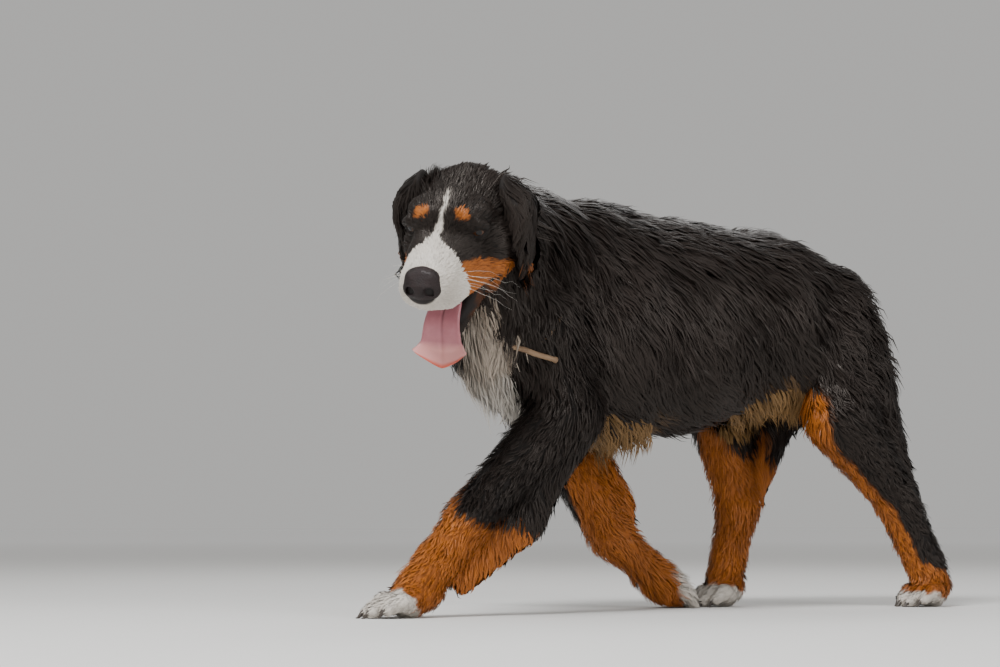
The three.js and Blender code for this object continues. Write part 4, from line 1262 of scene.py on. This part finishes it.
# A kind of hair: the number of tufts, their width, slot and rings, how far they wave, gather, droop, fall on
# the sides, lift and stretch, the share that flies free, and how tan they are at least
HAIR = "count wide slot rings wave clump droop fall lift stretch fly tan"
Hair = namedtuple("Hair", HAIR, defaults=(3, 0.04, 0.3, 0.1, 0.0, 1.1, 1.0, 0.05, 0))
TRUNK = {"wave": 0.05, "clump": 0.45, "droop": 0.25, "fall": 1.0, "stretch": 1.15, "fly": 0.02}
COATS = {
    "chest": Hair(8400, 4.5, "black_coat", **TRUNK),
    "barrel": Hair(8300, 4.5, "black_coat", **TRUNK),
    "rump": Hair(4500, 4.4, "black_coat", **TRUNK),
    "neck": Hair(
        8700, 4.4, "black_coat", wave=0.13, clump=0.6, droop=0.3, fall=0.5, lift=1.2, stretch=1.25, fly=0.08
    ),
    "bib": Hair(4500, 3.6, "white_coat", wave=0.1, clump=0.6, droop=0.5, lift=1.2, fly=0.1),
    "foreleg_left": Hair(6800, 3.5, "rust_coat", wave=0.08, clump=0.35),
    "foreleg_right": Hair(5600, 3.5, "rust_coat", wave=0.06, clump=0.35),
    "hindleg_left": Hair(7400, 3.7, "black_coat", wave=0.12, clump=0.5),
    "hindleg_right": Hair(5600, 3.7, "rust_coat", wave=0.08, clump=0.4),
}
TAIL_HAIR = Hair(4700, 4.4, "black_coat", wave=0.08, clump=0.45, lift=1.2, fly=0.1)
HANGING = {"droop": 1.6, "fall": 1.0, "lift": 1.9, "stretch": 1.3}
FRINGE = Hair(1700, 2.6, "rust_coat", wave=0.12, clump=0.6, fly=0.2, tan=0.75, **HANGING)
HEAD_HAIR = Hair(12000, 3.2, "black_coat", rings=2, wave=0.03, clump=0.25, lift=0.9, fly=0.02)
EAR_HAIR = Hair(2600, 3.2, "black_coat", wave=0.16, clump=0.6, droop=0.3, lift=2.4, stretch=1.45, fly=0.0)
CROWN_HAIR = Hair(1800, 2.6, "black_coat", wave=0.12, clump=0.5, lift=1.9, stretch=1.9, fly=0.1)
PAW_HAIR = Hair(1900, 4.0, "white_coat", rings=2, wave=0.02, clump=0.2)
SHAG = {"stretch": 2.0, "lift": 2.2, "clump": 0.5, "fly": 0.2}


def draws(sizes, number):
    """The random draws of one piece."""
    return np.random.default_rng(sizes.seed * 100 + number)


class OBJECT_OT_dog_coat(bpy.types.Operator):
    """Grows the long coat of the body, legs and tail"""

    bl_idname = "object.dog_coat"
    bl_label = "Long coat"

    def execute(self, context):
        sizes = context.scene.dog_sizes
        pelt = PELTS["body"]
        for number, (group, kind) in enumerate(COATS.items()):
            tufts(f"coat_{group}", pelt, pelt.group == group, kind, draws(sizes, number), sizes)
        tail = PELTS["tail"]
        tufts("coat_tail", tail, tail.group == "tail", TAIL_HAIR, draws(sizes, 20), sizes)
        forward, low = -pelt.middle[:, 1], unit(pelt.form.slope(pelt.middle))[:, 2] < -0.75
        brisket = (forward < 120) & (forward > -5)
        groin = (forward < -200) & (forward > -345)
        under = low & (brisket | groin) & np.isin(pelt.group, ["chest", "barrel", "rump"])
        tufts("coat_fringe", pelt, under, FRINGE, draws(sizes, 21), sizes)
        return {"FINISHED"}


class OBJECT_OT_dog_short_fur(bpy.types.Operator):
    """Grows the short fur of the head and paws and the wavy hair of the ears"""

    bl_idname = "object.dog_short_fur"
    bl_label = "Head, ears and paws"

    def execute(self, context):
        sizes = context.scene.dog_sizes
        pelt = PELTS["head"]
        pelt.bare = [*[(eye_centre(s), EYE_RADIUS + 1.8) for s in SIDES.values()], (at(156, 0, -24), 20)]
        furred = lip_marks(pelt.middle) < 0.3
        muzzle = -pelt.middle[:, 1] > 62
        tufts("coat_face", pelt, furred & muzzle, HEAD_HAIR, draws(sizes, 50), sizes)
        tufts("coat_skull", pelt, furred & ~muzzle, HEAD_HAIR, draws(sizes, 51), sizes)
        crown = (pelt.middle[:, 2] > 4) & (np.abs(pelt.middle[:, 0]) > 40) & (-pelt.middle[:, 1] < 12)
        tufts("coat_crown", pelt, crown, CROWN_HAIR, draws(sizes, 52), sizes)
        for number, name in enumerate(SIDES):
            pelt = PELTS[f"ear_{name}"]
            tufts(f"coat_ear_{name}", pelt, pelt.area > 0, EAR_HAIR, draws(sizes, 60 + number), sizes)
        for number, leg in enumerate(PAWS):
            pelt = PELTS[f"paw_{leg}"]
            kind = PAW_HAIR._replace(**SHAG) if leg == "foreleg_right" else PAW_HAIR
            tufts(f"coat_paw_{leg}", pelt, pelt.middle[:, 2] > 7, kind, draws(sizes, 70 + number), sizes)
        return {"FINISHED"}


# Eyes, nose, tongue, claws, whiskers and collar
def tube(points, radii, sides, closed=False):
    """A round tube along points, as points and triangles; a radius of 0 is a tip."""
    points = np.asarray(points, float)
    radii = np.broadcast_to(radii, len(points)).astype(float)
    if closed:
        ahead = unit(np.roll(points, -1, 0) - np.roll(points, 1, 0))
    else:
        ahead = unit(np.gradient(points, axis=0))
    side = unit(np.cross(ahead, [0.21, 0.11, 1.0]))
    rise = np.cross(side, ahead)
    angle = np.linspace(0, 2 * math.pi, sides, endpoint=False)
    ring = np.cos(angle)[None, :, None] * side[:, None] + np.sin(angle)[None, :, None] * rise[:, None]
    rows = (points[:, None] + ring * radii[:, None, None]).reshape(-1, 3)
    faces = halved(ring_quads(len(points), sides, closed)).tolist()
    if not closed:
        rows = np.concatenate([rows, points[:1], points[-1:]])
        last = (len(points) - 1) * sides
        for n in range(sides):
            faces.append([n, len(rows) - 2, (n + 1) % sides])
            faces.append([last + n, last + (n + 1) % sides, len(rows) - 1])
    return rows, np.array(faces)


class OBJECT_OT_dog_eyes(bpy.types.Operator):
    """Makes the two eyes with a domed clear front"""

    bl_idname = "object.dog_eyes"
    bl_label = "Eyes"

    def execute(self, context):
        for name, s in SIDES.items():
            look, across, upright = eye_frame(s, 0.08)
            polar = np.linspace(0.0, math.pi, 40)
            rings, sides = len(polar) - 2, 56
            dome = 1 + 0.035 * np.exp(-((polar / 0.5) ** 4))
            flat = spokes(sides, across, upright)[None]
            rows = look * np.cos(polar)[:, None, None] + flat * np.sin(polar)[:, None, None]
            points = eye_centre(s) + rows * (EYE_RADIUS * dome)[:, None, None]
            points = points[1:-1].reshape(-1, 3)
            ends = [eye_centre(s) + look * EYE_RADIUS * dome[0], eye_centre(s) - look * EYE_RADIUS]
            faces = halved(ring_quads(rings, sides)[:, [0, 3, 2, 1]]).tolist()
            top, last = len(points), (rings - 1) * sides
            for n in range(sides):
                m = (n + 1) % sides
                faces.append([top, n, m])
                faces.append([top + 1, last + m, last + n])
            points = np.concatenate([points, ends])
            piece = make_mesh(f"eyeball_{name}", HEAD.to_dog(points), np.array(faces))
            off = unit(points - eye_centre(s))
            polar_of = np.arccos(np.clip(off @ look, -1, 1))
            turn_of = np.arctan2(off @ upright, off @ across) / (2 * math.pi) + 0.5
            store(piece, "look", "FLOAT_VECTOR", np.stack([polar_of, turn_of, turn_of * 0], 1))
            dress(piece, FINISHES["eye"], "eye")
            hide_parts(f"eye_{name}")
        return {"FINISHED"}


NOSE = Form(
    {
        "nose": [
            limb(at(147, 0, -14), 15, at(155, 0, -25), 17, 1.42, 4, 0),
            *pair(at(152, 14, -13), 9, at(156, 15, -27), 9.5, 1, 7, 0),
        ]
    },
    hollows=[
        *pair(at(172, 12, -24), 6.2, at(158, 16, -25), 4.6, 1, 2),
        *pair(at(168, 15, -28), 1.7, at(152, 26, -33), 1.6, 1, 2),
        limb(at(178, 0, -20), 1.0, at(168, 0, -48), 1.8, 1, 2),
    ],
    turn=HEAD_TURN,
    place=HEAD_PLACE,
)


class OBJECT_OT_dog_nose(bpy.types.Operator):
    """Makes the nose pad with its nostrils, side slits and middle groove"""

    bl_idname = "object.dog_nose"
    bl_label = "Nose"

    def execute(self, context):
        points, quads = form_skin(NOSE, at(182, -36, -56), at(122, 36, 14), 0.75)
        piece = make_mesh("nose_pad", NOSE.to_dog(points), quads)
        dress(piece, FINISHES["nose"], "nose")
        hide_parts("nose")
        return {"FINISHED"}


TONGUE_LINE = [at(50, 0, -76), at(88, 0, -92), at(108, 0, -106), at(120, 2, -128), at(138, 6, -158)]


def tongue_mesh():
    """The tongue as a curved slab with a groove and an upturned rim, with the values for its finish."""
    steps, breadth = 56, 29
    along = np.linspace(0, 1, steps)
    line = on_line(TONGUE_LINE, along)
    reach = 5
    beyond = line[-1:] + (line[-1:] - line[-2:-1]) * np.arange(1, reach + 1)[:, None]
    padded = np.concatenate([np.repeat(line[:1], reach, 0), line, beyond])
    kernel = np.ones(2 * reach + 1) / (2 * reach + 1)
    line = np.stack([np.convolve(padded[:, n], kernel, "valid") for n in range(3)], 1)
    half = np.interp(along, [0, 0.25, 0.5, 0.72, 0.86, 0.93, 1.0], [16, 22, 25, 28, 34, 39, 33])
    thick = np.interp(along, [0, 0.5, 0.9, 1.0], [6.0, 5.2, 3.2, 1.6])
    ahead = unit(np.gradient(line, axis=0))
    side = np.array([1.0, 0, 0])
    rise = unit(np.cross(ahead, side))
    rise = rise * np.sign(rise @ at(1, 0, 0.4))[:, None]
    across = np.linspace(-1, 1, breadth)
    cup = np.interp(along, [0, 0.5, 0.8, 0.92, 1.0], [2, 4, 7, 13, 11])
    fade = np.interp(along, [0, 0.7, 1], [1, 0.8, 0.3])[:, None]
    groove = -2.2 * np.exp(-((across / 0.09) ** 2))[None] * fade
    lift = cup[:, None] * np.abs(across)[None] ** 2.6 + groove
    bend = np.interp(along, [0, 0.86, 1.0], [0, 0, 7.0])[:, None] * (1 - 0.4 * across[None] ** 2)
    tip = -np.interp(along, [0, 0.75, 1.0], [0, 0, 17.0])[:, None] * np.abs(across[None]) ** 1.3
    spread = side * (across[None] * half[:, None])[..., None]
    middle = line[:, None] + spread + ahead[:, None] * tip[..., None]
    edge = np.sqrt(np.clip(1 - np.abs(across) ** 6, 0, 1))
    slab = thick[:, None] * edge[None]
    top = middle + rise[:, None] * (lift + bend + slab)[..., None]
    under = middle + rise[:, None] * (lift + bend - slab)[..., None]
    count = steps * breadth
    points = np.concatenate([top.reshape(-1, 3), under.reshape(-1, 3)])
    corners = np.arange(count).reshape(steps, breadth)
    a, b, c, d = corners[:-1, :-1], corners[:-1, 1:], corners[1:, 1:], corners[1:, :-1]
    slabs = np.stack([a, b, c, d, count + a, count + d, count + c, count + b], -1).reshape(-1, 4)
    rim = np.concatenate([corners[0], corners[1:, -1], corners[-1, -2::-1], corners[-2:0:-1, 0]])
    after = np.roll(rim, -1)
    edges = np.stack([rim, count + rim, count + after, after], 1)
    values = [
        np.tile(np.abs(across), 2 * steps),
        np.tile(np.repeat(along, breadth), 2),
        np.repeat([0.0, 1.0], count),
    ]
    return points, np.concatenate([slabs, edges]), np.stack(values, 1)


class OBJECT_OT_dog_tongue(bpy.types.Operator):
    """Makes the hanging tongue with its groove and curled end"""

    bl_idname = "object.dog_tongue"
    bl_label = "Tongue"

    def execute(self, context):
        points, faces, values = tongue_mesh()
        piece = make_mesh("tongue_flesh", HEAD.to_dog(points), faces)
        store(piece, "hair", "FLOAT_VECTOR", values)
        dress(piece, FINISHES["tongue"], "tongue")
        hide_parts("tongue")
        return {"FINISHED"}


class OBJECT_OT_dog_claws(bpy.types.Operator):
    """Makes a curved claw on each toe"""

    bl_idname = "object.dog_claws"
    bl_label = "Claws"

    def execute(self, context):
        parts = []
        for leg in PAWS:
            for place, reach in TOES:
                _, knuckle, end = toe_line(leg, place, reach)
                ahead = unit(end - knuckle)
                ahead[2] = max(ahead[2], -0.55)
                start = end + ahead * 4 + at(0, 0, 3)
                curve = [start + ahead * t * 17 - at(0, 0, 7) * t * t for t in np.linspace(0, 1, 7)]
                curve = [np.array([*p[:2], max(p[2], 6.0)]) for p in curve]
                parts.append(tube(curve, [4.4, 4.3, 3.9, 3.3, 2.5, 1.6, 0.7], 10))
        piece = make_mesh("claws", *joined(parts))
        dress(piece, FINISHES["claw"], "claw")
        return {"FINISHED"}


class OBJECT_OT_dog_whiskers(bpy.types.Operator):
    """Sets long pale whiskers on the muzzle"""

    bl_idname = "object.dog_whiskers"
    bl_label = "Whiskers"

    def execute(self, context):
        draw = np.random.default_rng(context.scene.dog_sizes.seed + 3)
        parts = []
        for s in SIDES.values():
            for row in range(2):
                for n in range(4):
                    forward = 128 - n * 8.5 + draw.normal(0, 1.5)
                    root = at(forward, s * 30, -28 - row * 8 + draw.normal(0, 1.2))
                    root = HEAD.settle(root[None] + [[s * 14, 0, 0]], turns=4)[0]
                    out = unit(way(-0.35 - 0.12 * n, s * 1.0, -0.22 - 0.12 * row) + draw.normal(0, 0.09, 3))
                    reach = 42 + 26 * draw.random()
                    curve = [
                        root + out * reach * t + at(-10, 0, -26 + 12 * draw.random()) * t * t
                        for t in np.linspace(0, 1, 8)
                    ]
                    parts.append(tube(curve, np.linspace(0.24, 0.04, 8), 5))
        points, faces = joined(parts)
        piece = make_mesh("whiskers", HEAD.to_dog(points), faces)
        dress(piece, FINISHES["whisker"], "white_coat")
        return {"FINISHED"}


COLLAR_RADIUS = 5.0
COLLAR_MIDDLE = at(196, 42, 560)
COLLAR_WAY = way(0.8, 0.42, 0.5)
END_LINE = [at(271, 132, 427), at(255, 144, 421), at(238, 150, 414), at(220, 154, 409), at(205, 156, 404)]


def collar_ring():
    """The collar's middle line, on the skin under the ruff."""
    side = unit(np.cross(COLLAR_WAY, [0, 0, 1.0]))
    rise = np.cross(side, COLLAR_WAY)
    out = spokes(120, side, rise)
    reach = np.full(len(out), 40.0)
    for _ in range(60):
        reach += np.clip(-5 - BODY.level(COLLAR_MIDDLE + out * reach[:, None]), -4, 4)
    return COLLAR_MIDDLE + out * reach[:, None]


class OBJECT_OT_dog_collar(bpy.types.Operator):
    """Makes the thin rolled collar and its free end on the left of the neck"""

    bl_idname = "object.dog_collar"
    bl_label = "Collar"

    def execute(self, context):
        ring = tube(collar_ring(), COLLAR_RADIUS, 16, closed=True)
        line = BODY.settle(np.array(END_LINE), 20.0, turns=4)
        shares = np.linspace(0, 1, 40)
        radii = np.interp(shares, [0, 0.04, 0.9, 0.93, 0.99, 1], [4.0, 4.4, 4.2, 5.0, 4.8, 2.5])
        end = tube(on_line(line, shares), radii, 16)
        piece = make_mesh("collar_leather", *joined([ring, end]))
        dress(piece, FINISHES["leather"], "collar_leather")
        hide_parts("collar")
        return {"FINISHED"}


class OBJECT_OT_dog_finishes(bpy.types.Operator):
    """Makes the finishes of the dog and its stage"""

    bl_idname = "object.dog_finishes"
    bl_label = "Finishes"

    def execute(self, context):
        colours = context.scene.dog_colours
        FINISHES.update(
            coat=coat_finish(colours),
            skin=skin_finish(colours),
            eye=eye_finish(colours),
            nose=nose_finish(colours),
            tongue=tongue_finish(colours),
            claw=horn_finish("claw", colours.claw, colours.claw_lit),
            whisker=horn_finish("whisker", (0.5, 0.47, 0.42), (0.8, 0.77, 0.72)),
            leather=leather_finish(colours),
            floor=floor_finish(colours),
        )
        return {"FINISHED"}


# Stage
BACKDROP, BACKDROP_LIGHT = (0.9, 0.89, 0.87), 0.55
CAMERA_AZIMUTH, CAMERA_AWAY, CAMERA_HEIGHT = math.radians(58), 3.93, 0.1515
# The horizon's rows off the picture's middle, against the focal length in rows
HORIZON, FOCAL = 188.5, 2361.1
CAMERA_PITCH = math.atan(HORIZON / FOCAL)
WITHERS_COLUMN, FRAME_WIDTH, SENSOR_WIDTH = 615, 1000, 36.0
FLOOR_SPAN = 40000.0


def aim(thing, place, target):
    thing.location = place
    thing.rotation_euler = (Vector(target) - Vector(place)).to_track_quat("-Z", "Y").to_euler()


class OBJECT_OT_dog_stage(bpy.types.Operator):
    """Makes the pale floor, the soft studio lights and the camera"""

    bl_idname = "object.dog_stage"
    bl_label = "Stage"

    def execute(self, context):
        sizes = context.scene.dog_sizes
        scene = context.scene
        floor_points = np.array([[-1, -1, 0], [1, -1, 0], [1, 1, 0], [-1, 1, 0]]) * FLOOR_SPAN
        floor = make_mesh("studio_floor", floor_points - SHIFT / MM, np.array([[0, 1, 2, 3]]))
        floor.data.materials.append(FINISHES["floor"])

        camera_data = bpy.data.cameras.new("camera")
        camera_data.lens = sizes.lens
        camera_data.sensor_width = SENSOR_WIDTH
        camera = bpy.data.objects.new("camera", camera_data)
        scene.collection.objects.link(camera)
        focal = sizes.lens / SENSOR_WIDTH * FRAME_WIDTH
        place = np.array([math.sin(CAMERA_AZIMUTH), -math.cos(CAMERA_AZIMUTH), 0]) * CAMERA_AWAY
        place[2] = CAMERA_HEIGHT
        off = math.atan((WITHERS_COLUMN - FRAME_WIDTH / 2) / focal * math.cos(CAMERA_PITCH))
        back = -np.array([math.sin(CAMERA_AZIMUTH), -math.cos(CAMERA_AZIMUTH)])
        sine, cosine = math.sin(off), math.cos(off)
        level = np.array([back[0] * cosine - back[1] * sine, back[0] * sine + back[1] * cosine])
        look = np.array([*(level * math.cos(CAMERA_PITCH)), math.sin(CAMERA_PITCH)])
        aim(camera, place + SHIFT, place + SHIFT + look)
        scene.camera = camera

        for name, where, target, size, power in (
            ("key", (1.4, -2.4, 3.4), (0.0, -0.1, 0.35), 1.3, sizes.light),
            ("fill", (3.8, 1.0, 1.8), (0.0, 0.1, 0.35), 2.0, sizes.light * 0.3),
            ("back", (-2.0, 1.6, 3.2), (0.0, 0.0, 0.45), 1.4, sizes.light * 0.15),
        ):
            data = bpy.data.lights.new(name, "AREA")
            data.size = size
            data.energy = power
            lamp = bpy.data.objects.new(name, data)
            scene.collection.objects.link(lamp)
            aim(lamp, where, target)
        world = bpy.data.worlds.new("studio")
        scene.world = world
        world.use_nodes = True
        world.node_tree.nodes["Background"].inputs["Color"].default_value = (*BACKDROP, 1)
        world.node_tree.nodes["Background"].inputs["Strength"].default_value = BACKDROP_LIGHT
        return {"FINISHED"}


STEPS = (
    OBJECT_OT_dog_finishes,
    OBJECT_OT_dog_skin,
    OBJECT_OT_dog_coat,
    OBJECT_OT_dog_short_fur,
    OBJECT_OT_dog_eyes,
    OBJECT_OT_dog_nose,
    OBJECT_OT_dog_tongue,
    OBJECT_OT_dog_claws,
    OBJECT_OT_dog_whiskers,
    OBJECT_OT_dog_collar,
    OBJECT_OT_dog_stage,
)


class VIEW3D_PT_dog(bpy.types.Panel):
    """The steps that dress the dog, with its sizes and colours"""

    bl_label = "Dog"
    bl_idname = "VIEW3D_PT_dog"
    bl_space_type = "VIEW_3D"
    bl_region_type = "UI"
    bl_category = "Dog"

    def draw(self, context):
        layout = self.layout
        for group in (context.scene.dog_sizes, context.scene.dog_colours):
            for key in group.__annotations__:
                layout.prop(group, key)
        for step in STEPS:
            layout.operator(step.bl_idname)


CLASSES = (DogColours, DogSizes, *STEPS, VIEW3D_PT_dog)


def register():
    for made in CLASSES:
        bpy.utils.register_class(made)
    bpy.types.Scene.dog_colours = PointerProperty(type=DogColours)
    bpy.types.Scene.dog_sizes = PointerProperty(type=DogSizes)


def unregister():
    del bpy.types.Scene.dog_sizes
    del bpy.types.Scene.dog_colours
    for made in reversed(CLASSES):
        bpy.utils.unregister_class(made)


def main():
    register()
    for step in STEPS:
        group, name = step.bl_idname.split(".")
        getattr(getattr(bpy.ops, group), name)()


if __name__ == "__main__":
    main()
